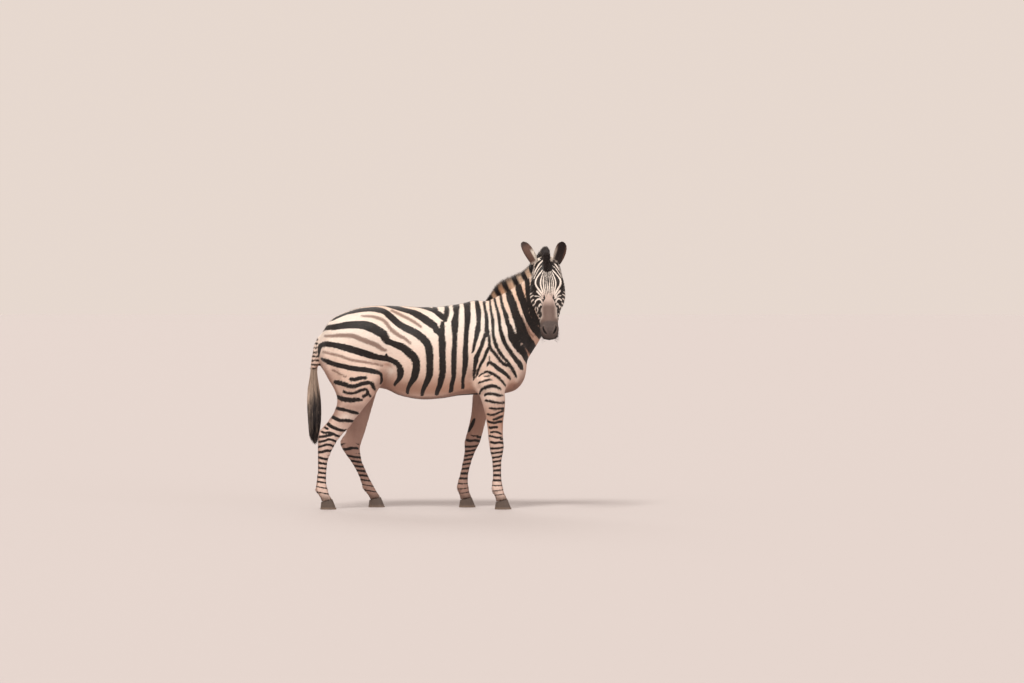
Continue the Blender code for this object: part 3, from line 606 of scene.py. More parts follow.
legShapes = [
    ([(0.372, 0.35, 0.007), (0.368, 0.18, 0.007)], -0.003),     # before the back tendons
    ([(0.345, 0.43, 0.012), (0.343, 0.405, 0.012)], 0.0035),      # back of the knee
    ([(0.41, 0.425, 0.012), (0.41, 0.395, 0.012)], 0.002),
    ([(0.35, 0.128, 0.01), (0.356, 0.116, 0.01)], 0.004),      # ergot
    ([(-0.7, 0.5, 0.008), (-0.716, 0.43, 0.008), (-0.712, 0.2, 0.007)], -0.003),
    ([(-0.735, 0.47, 0.01), (-0.732, 0.455, 0.01)], 0.003),    # point of the hock
    ([(-0.64, 0.445, 0.014), (-0.64, 0.425, 0.014)], 0.0025), ([(-0.745, 0.125, 0.01),
    (-0.742, 0.112, 0.01)], 0.004),
]
# On the head: down from the poll, and out of the face, for the sides.
cheekShapes = [
    ([(0.265, -0.052, 0.006), (0.33, -0.056, 0.006), (0.375, -0.06, 0.005)], 0.003),  # crest
    ([(0.285, -0.078, 0.012), (0.35, -0.08, 0.01)], -0.003),
    ([(0.07, -0.045, 0.016), (0.12, -0.05, 0.014)], -0.005),                    # over the eye
    ([(0.15, -0.135, 0.045), (0.18, -0.14, 0.045)], 0.0035),                     # cheek
    ([(0.255, -0.15, 0.012), (0.29, -0.13, 0.01), (0.31, -0.105, 0.01)], -0.004),
    ([(0.385, -0.09, 0.01), (0.425, -0.094, 0.008)], 0.0025),                     # lips' corner
    ([(0.5, -0.104, 0.012), (0.485, -0.112, 0.012)], 0.0035),                     # chin
]
mouthLine = [(0.53, -0.068, 0.0012), (0.505, -0.077, 0.0012), (0.475, -0.085, 0.0012),
             (0.44, -0.091, 0.001)]
# On the face: to the side, and down from the poll.
faceShapes = [
    ([(0.036, 0.27, 0.007), (0.034, 0.34, 0.006), (0.03, 0.4, 0.006)], -0.0018), ([(0.0, 0.3, 0.012),
    (0.0, 0.4, 0.012)], 0.0015),
    ([(0.056, 0.12, 0.012), (0.078, 0.14, 0.012), (0.09, 0.15, 0.01)], 0.004),  # brow
    ([(0.02, 0.455, 0.008), (0.026, 0.43, 0.008)], -0.002),
]
nostril = [(0.0215, 0.502, 0.0024), (0.0285, 0.4955, 0.0046), (0.036, 0.4835, 0.0052),
           (0.0398, 0.471, 0.0038), (0.038, 0.462, 0.0018)]


def routeField(places, route, reach=0.03):
    # how far places lie outside a route of given half width; below nought inside it, and
    # smooth across its middle
    rows = np.array(route, dtype=float)
    length = np.linalg.norm(np.diff(rows[:, :-1], axis=0), axis=1).sum()
    fine = smoothRows(rows, max(int(length / 0.004), 3)) if len(rows) > 1 else rows
    middle, wide = fine[:, :-1], np.maximum(fine[:, -1], 0.0012)
    edge = reach + wide.max()
    near = np.flatnonzero(((places > middle.min(axis=0) - edge)
                           & (places < middle.max(axis=0) + edge)).all(axis=1))
    field = np.full(len(places), reach)
    for start in range(0, len(near), 8000):
        part = near[start:start + 8000]
        gap = np.linalg.norm(places[part][:, None, :] - middle[None], axis=2)
        value = np.where(gap < wide, (gap ** 2 - wide ** 2) / (2 * wide), gap - wide)
        field[part] = np.minimum(value.min(axis=1), reach)
    return field


def routesField(places, routes, reach=0.03):
    field = np.full(len(places), reach)
    for route in routes:
        field = np.minimum(field, routeField(places, route, reach))
    return field


def swelling(places, shapes):
    total = np.zeros(len(places))
    for route, amount in shapes:
        wide = max(row[-1] for row in route)
        total += amount * (1 - smoothStep(routeField(places, route, 3 * wide), -0.5 * wide, 1.5 * wide))
    return total


def legChart(folded, left, points):
    # folded places, with the left legs slid along onto the right ones
    hind = points[:, 0] < -0.1
    slide = np.where(hind, legMiddle("hindRight", points[:, 2]) - legMiddle("hindLeft", points[:, 2]),
                     legMiddle("foreRight", points[:, 2]) - legMiddle("foreLeft", points[:, 2]))
    fade = 1 - smoothStep(points[:, 2], 0.74, 0.86)
    shifted = folded.copy()
    shifted[:, 0] += np.where(left > 0, slide * fade, 0)
    return shifted


def headness(points):
    # above nought on the head's side of the two planes that part it from the neck
    away = points[:, 1:] - np.array([-0.043, 1.27])
    return np.minimum(away @ np.array([-0.714, 0.7]), away @ np.array([-0.951, -0.31]))


eyeFacts = {
    "radius": 0.0205,
    "turnOut": 0.46,  # how far the eyes look forwards, against sideways
    "slit": 0.42,     # tilt of the opening
    "halfLength": 0.0182,
    "upper": 0.0122,         # half heights of the opening
    "lower": 0.0088,
    "lid": 0.0017,
    "sink": 0.0065,       # how far the ball sits inside its socket
    "corner": 1.55,       # 2 is an oval opening, less has sharper corners
    "sunk": 0.3,          # height of the hidden skin inside the ball, as a share of its radius
    "domeReach": 0.0185,  # the lids' dome keeps to the ball this far from the axis
    "snap": 0.0012,       # points nearer the opening's edge than this move onto it
}


def eyeAxes(side):
    # the eye's own directions: along its opening towards the muzzle, up, and straight out
    axis = unit(np.array([0.0, eyeFacts["turnOut"], side]))
    along = np.array([1.0, eyeFacts["slit"], 0.0])
    along = unit(along - axis * along.dot(axis))
    up = np.cross(along, axis) * -side
    return np.stack([along, up * (1 if up[0] < 0 else -1), axis]) @ headAxes


def eyeSeat(side):
    return (eyeLeft if side > 0 else eyeRight) - eyeFacts["sink"] * eyeAxes(side)[2]


def lidReach(turn):
    # the opening's edge, as a distance from the eye's axis: |x/length|^n + |y/height|^n = 1
    power = eyeFacts["corner"]
    height = np.where(np.sin(turn) > 0, eyeFacts["upper"], eyeFacts["lower"])
    return (np.abs(np.cos(turn) / eyeFacts["halfLength"]) ** power
            + np.abs(np.sin(turn) / height) ** power) ** (-1 / power)


def lidAngle(turn):
    return np.arcsin(lidReach(turn) / (eyeFacts["radius"] + eyeFacts["lid"]))


def shapeEyes(points):
    # seen along the eye's axis, skin inside the opening sinks into the ball, and skin round it
    # lies on a dome over the ball, then falls to the face, with a fold above and one below
    shell = eyeFacts["radius"] + eyeFacts["lid"]
    domeEdge = eyeFacts["domeReach"]
    for side in (1, -1):
        eye, axes = eyeSeat(side), eyeAxes(side)
        local = (points - eye) @ axes.T
        reach, high = np.maximum(np.hypot(local[:, 0], local[:, 1]), 1e-6), local[:, 2]
        turn = np.arctan2(local[:, 1], local[:, 0])
        edge = lidReach(turn)
        beyond = reach - edge
        near = (reach < 0.04) & (np.abs(high) < 0.04)
        reach = np.where(np.abs(beyond) < eyeFacts["snap"], edge, reach)
        dome = (np.sqrt(shell ** 2 - np.minimum(reach, domeEdge) ** 2)
                - 1.1 * np.maximum(reach - domeEdge, 0))
        low, free = smoothStep(reach, domeEdge, 0.038), smoothStep(beyond, 0.003, 0.02)
        height = dome + (high - dome) * np.where(high < dome, low, free)
        above = np.sin(turn) > -0.2
        fold = (0.0006 * bell(beyond - 0.002, 0.0016)
                - 0.0015 * above * bell(beyond - 0.006, 0.0013)
                + 0.0016 * above * bell(beyond - 0.0092, 0.0024)
                - 0.0009 * ~above * bell(beyond - 0.0066, 0.0013))
        height = np.where(beyond < -eyeFacts["snap"], eyeFacts["radius"] * eyeFacts["sunk"],
                          height + fold)
        place = np.stack([reach * np.cos(turn), reach * np.sin(turn), height], 1)
        points = np.where(near[:, None], eye + place @ axes, points)
    return points


def shapeSkin(skin):
    mesh = skin.data
    points, normals = readPoints(mesh), readPoints(mesh, "normal")
    onHead = smoothStep(headness(points), -0.02, 0.01) * (inHead(toHead(points)))
    ear = earPlaces(points) > 0.03
    folded, left = fold(points)[:2]
    chart = legChart(folded, left, points)[:, [0, 2]]
    sideways = smoothStep(np.abs(normals[:, 1]), 0.15, 0.5) * (1 - onHead)
    outer = smoothStep(np.abs(left), 0.055, 0.1)
    push = 1.3 * swelling(chart, bodyShapes) * sideways * outer
    push += swelling(chart, legShapes) * sideways * (points[:, 2] < 0.56)
    ribs = np.sin((chart[:, 0] + 0.25 * (1.0 - chart[:, 1])) * 2 * math.pi / 0.052)
    where = bell(chart[:, 0] + 0.02, 0.17) * bell(chart[:, 1] - 0.92, 0.13)
    push += 0.0011 * ribs * where * sideways * outer
    push += 0.0012 * ripple(points, 18, 5) * (1 - onHead) * smoothStep(points[:, 2], 0.55, 0.8)
    places = toHead(points)
    headNormals = normals @ headAxes.T
    s, v = places[:, 0], places[:, 2]
    flank = smoothStep(np.abs(headNormals[:, 2]), 0.25, 0.6)
    front = smoothStep(headNormals[:, 1] + 0.6 * headNormals[:, 0], 0.15, 0.5)
    face = np.stack([np.abs(v), s], 1)
    push += onHead * (swelling(places[:, :2], cheekShapes) * flank + swelling(face, faceShapes) * front)
    mouth = routeField(places[:, :2], mouthLine, 0.02)
    push += onHead * (0.0016 * bell(mouth - 0.005, 0.004) - 0.0050 * bell(mouth, 0.0022))
    hole = routeField(face, nostril, 0.03)
    push += onHead * front * 0.0032 * bell(hole - 0.0035, 0.0042)
    points = points + normals * (push * (1 - ear))[:, None]
    depth = 0.0150 * (1 - smoothStep(hole, -0.005, 0.0012)) * onHead * front
    inward = unit(-faceDown * 0.5 - faceFront * 0.75)
    points = points + depth[:, None] * inward
    points = np.where((onHead > 0.5)[:, None] & ~ear[:, None], shapeEyes(points), points)
    # what stands furthest out to left and right is drawn in a little, to leave the coat room
    past = np.maximum(np.abs(points[:, 1]) - (cadBox[1][1] - skinFacts["drawnReach"]), 0)
    points[:, 1] -= skinFacts["drawIn"] * np.sign(points[:, 1]) * past
    thin = np.where(onHead > 0.5, skinFacts["faceDepth"], skinFacts["coatDepth"])
    lidZone = eyeDistance(points) < 0.034
    thin = np.where(lidZone | ear, 0.0002, thin)
    writePoints(mesh, points - normals * thin[:, None])


# ---- the markings

markFacts = {
    "wider": 0.0028,                      # added to the half width of every stripe with a route
    "raised": 0.0045,                     # added to the height of every mark with a route on body or legs
    "eyeRing": 0.0265,                    # nearer to an eye than this the face is black
    "hindRings": (0.318, 0.031, 0.0078),  # height, spacing and half width of the leg rings
    "foreRings": (0.383, 0.029, 0.0074),
    "chestnut": [(0.343, 0.548, 0.007), (0.342, 0.515, 0.012), (0.336, 0.47, 0.008)],
}

# Black stripes of the right side, in x and z with half widths; the left side gets the same.
barrel = [
    [(-0.72, 1.12, 0.004), (-0.69, 1.155, 0.004), (-0.64, 1.177, 0.005), (-0.6, 1.197, 0.007),
     (-0.56, 1.214, 0.008), (-0.52, 1.224, 0.009), (-0.46, 1.235, 0.01), (-0.4, 1.2385, 0.0105),
     (-0.36, 1.2345, 0.0125), (-0.32, 1.224, 0.014), (-0.28, 1.193, 0.018), (-0.24, 1.158, 0.018),
     (-0.2, 1.132, 0.019), (-0.16, 1.113, 0.02), (-0.12, 1.092, 0.021), (-0.08, 1.063, 0.022),
     (-0.056, 1.034, 0.022), (-0.043, 1.005, 0.022), (-0.039, 0.968, 0.021), (-0.037, 0.927, 0.02),
     (-0.037, 0.885, 0.02), (-0.039, 0.844, 0.019), (-0.045, 0.819, 0.0175), (-0.06, 0.786, 0.014),
     (-0.076, 0.753, 0.0115), (-0.085, 0.72, 0.009), (-0.087, 0.69, 0.007), (-0.072, 0.664, 0.008)],
    [(-0.74, 1.085, 0.006), (-0.715, 1.108, 0.009), (-0.68, 1.124, 0.012), (-0.64, 1.129, 0.015),
     (-0.6, 1.1355, 0.016), (-0.56, 1.142, 0.0185), (-0.52, 1.145, 0.02), (-0.48, 1.146, 0.021),
     (-0.44, 1.143, 0.024), (-0.4, 1.13, 0.027), (-0.36, 1.109, 0.026), (-0.329, 1.09, 0.025),
     (-0.3135, 1.068, 0.023), (-0.3, 1.047, 0.019), (-0.279, 1.037, 0.016), (-0.24, 1.022, 0.019),
     (-0.2, 1.004, 0.022), (-0.16, 0.97, 0.0235), (-0.134, 0.947, 0.023), (-0.122, 0.914, 0.0225),
     (-0.12, 0.885, 0.022), (-0.126, 0.852, 0.0215), (-0.134, 0.823, 0.019), (-0.151, 0.794, 0.014),
     (-0.1675, 0.765, 0.01), (-0.176, 0.74, 0.0085), (-0.178, 0.7155, 0.007), (-0.1725, 0.69, 0.006),
     (-0.152, 0.668, 0.007)],
    [(-0.36, 1.262, 0.002), (-0.32, 1.26, 0.003), (-0.28, 1.253, 0.006), (-0.24, 1.244, 0.009),
     (-0.2, 1.234, 0.0105), (-0.16, 1.224, 0.013), (-0.12, 1.208, 0.018), (-0.08, 1.1855, 0.02),
     (-0.04, 1.1585, 0.021), (-0.01, 1.138, 0.019), (0.004, 1.113, 0.018), (0.027, 1.096, 0.018),
     (0.035, 1.0716, 0.018), (0.0395, 1.03, 0.02), (0.0395, 0.989, 0.019), (0.04, 0.947, 0.0185),
     (0.0416, 0.906, 0.0185), (0.0416, 0.8645, 0.0185), (0.0375, 0.831, 0.0175),
     (0.031, 0.8024, 0.0165), (0.023, 0.769, 0.0135), (0.0106, 0.74, 0.012), (0.0043, 0.7155, 0.01),
     (0.0064, 0.688, 0.008), (0.022, 0.662, 0.009)],
    [(0.04, 1.157, 0.009), (0.0395, 1.135, 0.013), (0.0385, 1.11, 0.015), (0.036, 1.085, 0.016)],
    [(-0.196, 1.258, 0.002), (-0.1385, 1.256, 0.004), (-0.1, 1.252, 0.005), (-0.06, 1.243, 0.006),
     (-0.031, 1.235, 0.008), (-0.01, 1.227, 0.01), (0.0147, 1.212, 0.013), (0.035, 1.196, 0.015),
     (0.052, 1.181, 0.01), (0.062, 1.171, 0.006)],
    [(0.06, 1.257, 0.006), (0.064, 1.2455, 0.0125), (0.066, 1.216, 0.0135), (0.064, 1.1875, 0.01)],
    [(-0.014, 1.2496, 0.008), (0.0, 1.235, 0.01)],
    [(0.122, 1.275, 0.021), (0.125, 1.237, 0.017), (0.124, 1.2, 0.015), (0.117, 1.1585, 0.021),
     (0.117, 1.121, 0.0175), (0.117, 1.0716, 0.0135), (0.116, 1.03, 0.0125), (0.113, 0.989, 0.014),
     (0.112, 0.947, 0.0145), (0.111, 0.906, 0.0145), (0.1105, 0.8645, 0.014), (0.11, 0.831, 0.0125),
     (0.105, 0.802, 0.0115), (0.0967, 0.769, 0.011), (0.0934, 0.74, 0.011), (0.092, 0.7155, 0.0135),
     (0.096, 0.69, 0.014), (0.11, 0.66, 0.013)],
    [(0.19, 1.29, 0.0205), (0.1936, 1.237, 0.0175), (0.1957, 1.196, 0.0175), (0.1928, 1.154, 0.0145),
     (0.1895, 1.113, 0.0135), (0.1866, 1.0716, 0.0125), (0.1845, 1.03, 0.0125), (0.1824, 0.989, 0.0145),
     (0.1828, 0.947, 0.015), (0.182, 0.906, 0.015), (0.176, 0.8645, 0.0125), (0.171, 0.831, 0.0093),
     (0.1663, 0.802, 0.008), (0.166, 0.769, 0.008), (0.1667, 0.74, 0.0093), (0.176, 0.718, 0.008),
     (0.192, 0.69, 0.008), (0.205, 0.664, 0.009)],
    [(0.248, 1.3, 0.0085), (0.261, 1.237, 0.0145), (0.2636, 1.196, 0.013), (0.264, 1.154, 0.0115),
     (0.259, 1.113, 0.0145), (0.25, 1.0716, 0.0115), (0.24, 1.03, 0.008), (0.234, 1.001, 0.007),
     (0.226, 0.976, 0.004)],
]
shoulder = [
    [(0.297, 1.31, 0.0083), (0.2986, 1.266, 0.0075), (0.3044, 1.237, 0.0075), (0.3118, 1.196, 0.01),
     (0.3139, 1.154, 0.0105), (0.314, 1.121, 0.0125), (0.316, 1.088, 0.015), (0.3015, 1.0716, 0.0105),
     (0.291, 1.0384, 0.0115), (0.2808, 1.0095, 0.0105), (0.2663, 0.976, 0.0115), (0.2518, 0.947, 0.014),
     (0.2468, 0.9225, 0.0145), (0.2415, 0.8935, 0.0105), (0.238, 0.8645, 0.009), (0.2344, 0.831, 0.007),
     (0.234, 0.802, 0.004)],
    [(0.316, 1.088, 0.012), (0.327, 1.0716, 0.0085), (0.3305, 1.038, 0.0085), (0.3326, 1.0136, 0.0093),
     (0.343, 0.993, 0.009), (0.3636, 0.968, 0.009), (0.38, 0.947, 0.009), (0.3967, 0.9266, 0.009),
     (0.413, 0.906, 0.009), (0.43, 0.8976, 0.009), (0.446, 0.8935, 0.009), (0.47, 0.884, 0.006)],
    [(0.3326, 1.01, 0.008), (0.318, 0.989, 0.009), (0.3077, 0.964, 0.009), (0.2994, 0.939, 0.008),
     (0.287, 0.918, 0.008), (0.2766, 0.8976, 0.007), (0.264, 0.8687, 0.006), (0.256, 0.844, 0.006),
     (0.25, 0.823, 0.004)],
    [(0.3326, 0.947, 0.003), (0.3326, 0.9225, 0.003)],
    [(0.3334, 1.3, 0.005), (0.3388, 1.237, 0.0065), (0.347, 1.196, 0.008), (0.352, 1.154, 0.0093),
     (0.3533, 1.113, 0.008), (0.356, 1.0716, 0.0093), (0.3677, 1.03, 0.0093), (0.382, 0.997, 0.009),
     (0.399, 0.968, 0.009), (0.4216, 0.939, 0.008), (0.445, 0.914, 0.008), (0.462, 0.885, 0.009),
     (0.476, 0.8645, 0.009), (0.494, 0.831, 0.008), (0.5065, 0.802, 0.006), (0.515, 0.765, 0.004)],
    [(0.36, 1.31, 0.006), (0.378, 1.237, 0.008), (0.3897, 1.196, 0.009), (0.3934, 1.154, 0.009),
     (0.399, 1.113, 0.0093), (0.411, 1.0716, 0.012), (0.4265, 1.03, 0.0115), (0.4526, 0.989, 0.0125),
     (0.471, 0.96, 0.011), (0.496, 0.9266, 0.013), (0.519, 0.8976, 0.015), (0.529, 0.873, 0.014),
     (0.5437, 0.844, 0.013), (0.55, 0.815, 0.009), (0.556, 0.78, 0.004)],
    [(0.4, 1.33, 0.008), (0.407, 1.2786, 0.008), (0.4195, 1.237, 0.009), (0.435, 1.196, 0.014),
     (0.4443, 1.154, 0.012), (0.463, 1.113, 0.018), (0.475, 1.0716, 0.028), (0.496, 1.03, 0.026),
     (0.521, 0.997, 0.026), (0.543, 0.968, 0.02), (0.557, 0.935, 0.014), (0.57, 0.9, 0.009)],
    [(0.318, 0.893, 0.004), (0.3285, 0.912, 0.007), (0.351, 0.902, 0.01), (0.372, 0.885, 0.012),
     (0.388, 0.8707, 0.012), (0.409, 0.856, 0.012), (0.43, 0.8397, 0.01), (0.4465, 0.823, 0.008),
     (0.459, 0.8024, 0.006), (0.467, 0.7817, 0.005), (0.473, 0.767, 0.003)],
    [(0.264, 0.823, 0.004), (0.277, 0.835, 0.004), (0.2974, 0.848, 0.005), (0.318, 0.856, 0.006),
     (0.3346, 0.848, 0.009), (0.3595, 0.8376, 0.009), (0.38, 0.823, 0.008), (0.397, 0.8086, 0.007),
     (0.413, 0.79, 0.006), (0.43, 0.765, 0.004), (0.438, 0.7444, 0.002)],
    [(0.297, 0.823, 0.003), (0.33, 0.83, 0.004)],
    [(0.262, 0.78, 0.003), (0.275, 0.79, 0.005), (0.31, 0.8, 0.006), (0.325, 0.806, 0.006),
     (0.345, 0.803, 0.004)],
    [(0.266, 0.7, 0.003), (0.2755, 0.732, 0.005), (0.2868, 0.746, 0.007), (0.301, 0.7546, 0.009),
     (0.3207, 0.7616, 0.01), (0.3376, 0.766, 0.011), (0.357, 0.766, 0.01), (0.374, 0.76, 0.009),
     (0.3885, 0.7546, 0.007), (0.402, 0.747, 0.004)],
]
throat = [
    [(0.447, 1.35, 0.015), (0.47, 1.2786, 0.0245), (0.483, 1.237, 0.025), (0.498, 1.2, 0.0245),
     (0.515, 1.15, 0.029), (0.54, 1.08, 0.032), (0.58, 1.02, 0.03), (0.604, 0.975, 0.022),
     (0.622, 0.935, 0.011)],
    [(0.5, 1.42, 0.016), (0.52, 1.34, 0.02), (0.532, 1.309, 0.021), (0.546, 1.271, 0.021),
     (0.563, 1.205, 0.0155), (0.582, 1.165, 0.0175), (0.604, 1.131, 0.0215), (0.628, 1.105, 0.0235),
     (0.655, 1.077, 0.026)],
    [(0.556, 1.47, 0.013), (0.566, 1.4, 0.013), (0.575, 1.32, 0.014), (0.594, 1.24, 0.015),
     (0.605, 1.205, 0.017), (0.627, 1.166, 0.016), (0.66, 1.14, 0.012), (0.685, 1.115, 0.007)],
    [(0.6, 1.5, 0.01), (0.61, 1.43, 0.011), (0.612, 1.35, 0.01), (0.625, 1.29, 0.012),
     (0.645, 1.25, 0.012), (0.675, 1.215, 0.01), (0.705, 1.19, 0.006)],
    [(0.635, 1.52, 0.008), (0.645, 1.45, 0.009), (0.65, 1.38, 0.009), (0.665, 1.33, 0.009),
     (0.695, 1.29, 0.007)],
]
haunch = [
    [(-0.745, 0.915, 0.004), (-0.737, 0.946, 0.005), (-0.729, 0.98, 0.007), (-0.719, 1.012, 0.01),
     (-0.68, 1.0257, 0.013), (-0.64, 1.0218, 0.013), (-0.6, 1.014, 0.0145), (-0.56, 1.0044, 0.017),
     (-0.52, 0.9927, 0.019), (-0.48, 0.981, 0.018), (-0.44, 0.9694, 0.018), (-0.4, 0.956, 0.0175),
     (-0.36, 0.946, 0.014), (-0.32, 0.94, 0.014), (-0.3, 0.9364, 0.014), (-0.28, 0.9287, 0.013),
     (-0.255, 0.917, 0.013), (-0.236, 0.9015, 0.014), (-0.222, 0.88, 0.016), (-0.219, 0.856, 0.018),
     (-0.2213, 0.8314, 0.015), (-0.2317, 0.8065, 0.01), (-0.246, 0.79, 0.007),
     (-0.2586, 0.7713, 0.004)],
    [(-0.3, 0.94, 0.006), (-0.308, 0.9656, 0.003)],
    [(-0.712, 0.932, 0.005), (-0.68, 0.921, 0.011), (-0.64, 0.9054, 0.011), (-0.6, 0.8957, 0.012),
     (-0.56, 0.886, 0.0125), (-0.52, 0.878, 0.0125), (-0.48, 0.8724, 0.012), (-0.44, 0.8685, 0.012),
     (-0.394, 0.8586, 0.012), (-0.36, 0.85, 0.009), (-0.342, 0.838, 0.005), (-0.338, 0.8, 0.004),
     (-0.344, 0.78, 0.003)],
    [(-0.53, 0.808, 0.004), (-0.525, 0.81, 0.008), (-0.501, 0.8086, 0.008), (-0.4736, 0.817, 0.008),
     (-0.4356, 0.819, 0.006)],
    [(-0.6254, 0.791, 0.007), (-0.601, 0.786, 0.012), (-0.57, 0.779, 0.011), (-0.539, 0.767, 0.01),
     (-0.5116, 0.7654, 0.009), (-0.484, 0.772, 0.009), (-0.46, 0.781, 0.009), (-0.4356, 0.786, 0.009),
     (-0.415, 0.788, 0.008), (-0.398, 0.7827, 0.008), (-0.389, 0.762, 0.007), (-0.38, 0.745, 0.004)],
    [(-0.572, 0.731, 0.004), (-0.546, 0.724, 0.005), (-0.5184, 0.722, 0.005), (-0.491, 0.729, 0.005),
     (-0.4667, 0.7395, 0.005), (-0.439, 0.7464, 0.005), (-0.425, 0.738, 0.005), (-0.422, 0.7206, 0.005),
     (-0.408, 0.7016, 0.004)],
    [(-0.6116, 0.6964, 0.008), (-0.5875, 0.688, 0.011), (-0.553, 0.681, 0.012), (-0.5184, 0.679, 0.012),
     (-0.491, 0.6826, 0.009), (-0.46, 0.679, 0.003)],
    [(-0.449, 0.703, 0.007), (-0.429, 0.7137, 0.007)],
    [(-0.628, 0.628, 0.005), (-0.598, 0.624, 0.007), (-0.567, 0.617, 0.007), (-0.539, 0.61, 0.007),
     (-0.515, 0.603, 0.007), (-0.487, 0.596, 0.005)],
]
shank = [
    [(-0.66, 0.578, 0.008), (-0.622, 0.562, 0.009), (-0.598, 0.553, 0.009), (-0.567, 0.5515, 0.008),
     (-0.539, 0.548, 0.008), (-0.51, 0.545, 0.004)],
    [(-0.692, 0.541, 0.005), (-0.67, 0.527, 0.009), (-0.653, 0.5135, 0.009), (-0.629, 0.503, 0.008),
     (-0.605, 0.493, 0.007), (-0.574, 0.4876, 0.005), (-0.55, 0.492, 0.003)],
    [(-0.703, 0.5118, 0.005), (-0.674, 0.498, 0.005)],
    [(-0.74, 0.497, 0.005), (-0.698, 0.474, 0.005), (-0.667, 0.4756, 0.005), (-0.639, 0.4687, 0.005),
     (-0.622, 0.4566, 0.005), (-0.6, 0.45, 0.005)],
    [(-0.74, 0.448, 0.006), (-0.701, 0.45, 0.006), (-0.674, 0.4566, 0.006), (-0.646, 0.4618, 0.005)],
    [(-0.74, 0.415, 0.005), (-0.698, 0.422, 0.005), (-0.67, 0.4324, 0.005), (-0.65, 0.4307, 0.005),
     (-0.62, 0.417, 0.005)],
    [(-0.745, 0.381, 0.005), (-0.708, 0.391, 0.005), (-0.684, 0.3996, 0.005), (-0.66, 0.398, 0.005),
     (-0.63, 0.385, 0.005)],
    [(-0.74, 0.35, 0.006), (-0.708, 0.354, 0.006), (-0.684, 0.3617, 0.006), (-0.65, 0.36, 0.006)],
    [(0.302, 0.708, 0.005), (0.3207, 0.7165, 0.007), (0.357, 0.715, 0.007), (0.374, 0.712, 0.007),
     (0.388, 0.707, 0.007), (0.41, 0.706, 0.005)],
    [(0.309, 0.674, 0.0055), (0.332, 0.671, 0.0055), (0.3546, 0.6657, 0.0055), (0.38, 0.6614, 0.0055),
     (0.4026, 0.66, 0.0055), (0.435, 0.66, 0.0055)],
    [(0.332, 0.6275, 0.004), (0.3517, 0.6247, 0.005), (0.374, 0.622, 0.005), (0.4, 0.6247, 0.005),
     (0.43, 0.627, 0.005)],
    [(0.32, 0.589, 0.004), (0.343, 0.585, 0.004), (0.366, 0.5894, 0.004), (0.3856, 0.598, 0.004),
     (0.405, 0.605, 0.004), (0.43, 0.613, 0.004)],
    [(0.357, 0.557, 0.005), (0.374, 0.56, 0.006), (0.388, 0.567, 0.006), (0.4026, 0.5725, 0.006),
     (0.428, 0.581, 0.006)],
    [(0.31, 0.549, 0.0055), (0.34, 0.537, 0.0055), (0.363, 0.536, 0.0055), (0.383, 0.54, 0.0055),
     (0.4, 0.543, 0.0055), (0.428, 0.541, 0.0055)],
    [(0.31, 0.507, 0.006), (0.34, 0.505, 0.006), (0.36, 0.5075, 0.006), (0.377, 0.509, 0.005)],
    [(0.34, 0.475, 0.004), (0.357, 0.479, 0.004), (0.374, 0.478, 0.004), (0.391, 0.4737, 0.004),
     (0.4026, 0.4666, 0.004), (0.43, 0.466, 0.004)],
    [(0.315, 0.455, 0.0045), (0.343, 0.451, 0.0045), (0.36, 0.447, 0.0045), (0.38, 0.4426, 0.0045),
     (0.4, 0.444, 0.004)],
    [(0.4, 0.434, 0.004), (0.425, 0.434, 0.005)],
    [(0.34, 0.415, 0.005), (0.366, 0.41, 0.0055), (0.3856, 0.413, 0.0055), (0.4026, 0.4116, 0.0055),
     (0.43, 0.404, 0.0055)],
]
shadows = [
    [(-0.46, 1.1985, 0.004), (-0.4, 1.1965, 0.006), (-0.36, 1.187, 0.008), (-0.329, 1.175, 0.008),
     (-0.306, 1.156, 0.009), (-0.288, 1.1305, 0.009), (-0.271, 1.113, 0.01), (-0.2475, 1.0937, 0.01),
     (-0.2165, 1.074, 0.009), (-0.196, 1.065, 0.008), (-0.159, 1.034, 0.006)],
    [(-0.275, 1.231, 0.005), (-0.217, 1.204, 0.007), (-0.16, 1.177, 0.007), (-0.122, 1.154, 0.007),
     (-0.093, 1.134, 0.005)],
    [(-0.69, 1.074, 0.005), (-0.64, 1.076, 0.008), (-0.6, 1.08, 0.01), (-0.56, 1.08, 0.011),
     (-0.52, 1.078, 0.012), (-0.492, 1.07, 0.013), (-0.46, 1.057, 0.013), (-0.43, 1.045, 0.013),
     (-0.4, 1.0335, 0.013), (-0.37, 1.022, 0.013), (-0.3485, 1.008, 0.012), (-0.329, 0.995, 0.01),
     (-0.31, 0.989, 0.006)],
    [(-0.698, 0.977, 0.005), (-0.64, 0.9636, 0.006), (-0.6, 0.956, 0.006), (-0.56, 0.942, 0.006),
     (-0.52, 0.9287, 0.006), (-0.48, 0.921, 0.006), (-0.44, 0.915, 0.006), (-0.391, 0.9054, 0.005),
     (-0.333, 0.894, 0.004)],
    [(-0.639, 0.8655, 0.004), (-0.56, 0.826, 0.004)],
    [(0.5, 1.085, 0.003), (0.529, 1.03, 0.004), (0.554, 0.993, 0.004), (0.582, 0.96, 0.003)],
    [(0.533, 1.195, 0.004), (0.548, 1.155, 0.005), (0.579, 1.096, 0.005), (0.5996, 1.0716, 0.004)],
    [(0.565, 1.238, 0.004), (0.598, 1.183, 0.004), (0.632, 1.138, 0.003)],
]
pale = [
    [(0.031, 1.2315, 0.007), (0.04, 1.229, 0.004)],
    [(0.44, 1.275, 0.006), (0.452, 1.237, 0.007), (0.462, 1.196, 0.008), (0.478, 1.15, 0.008),
     (0.492, 1.1, 0.006)],
    [(0.5, 1.3, 0.006), (0.512, 1.262, 0.008), (0.524, 1.225, 0.007), (0.533, 1.198, 0.005)],
    [(0.5313, 1.024, 0.007), (0.533, 1.022, 0.006)],
]
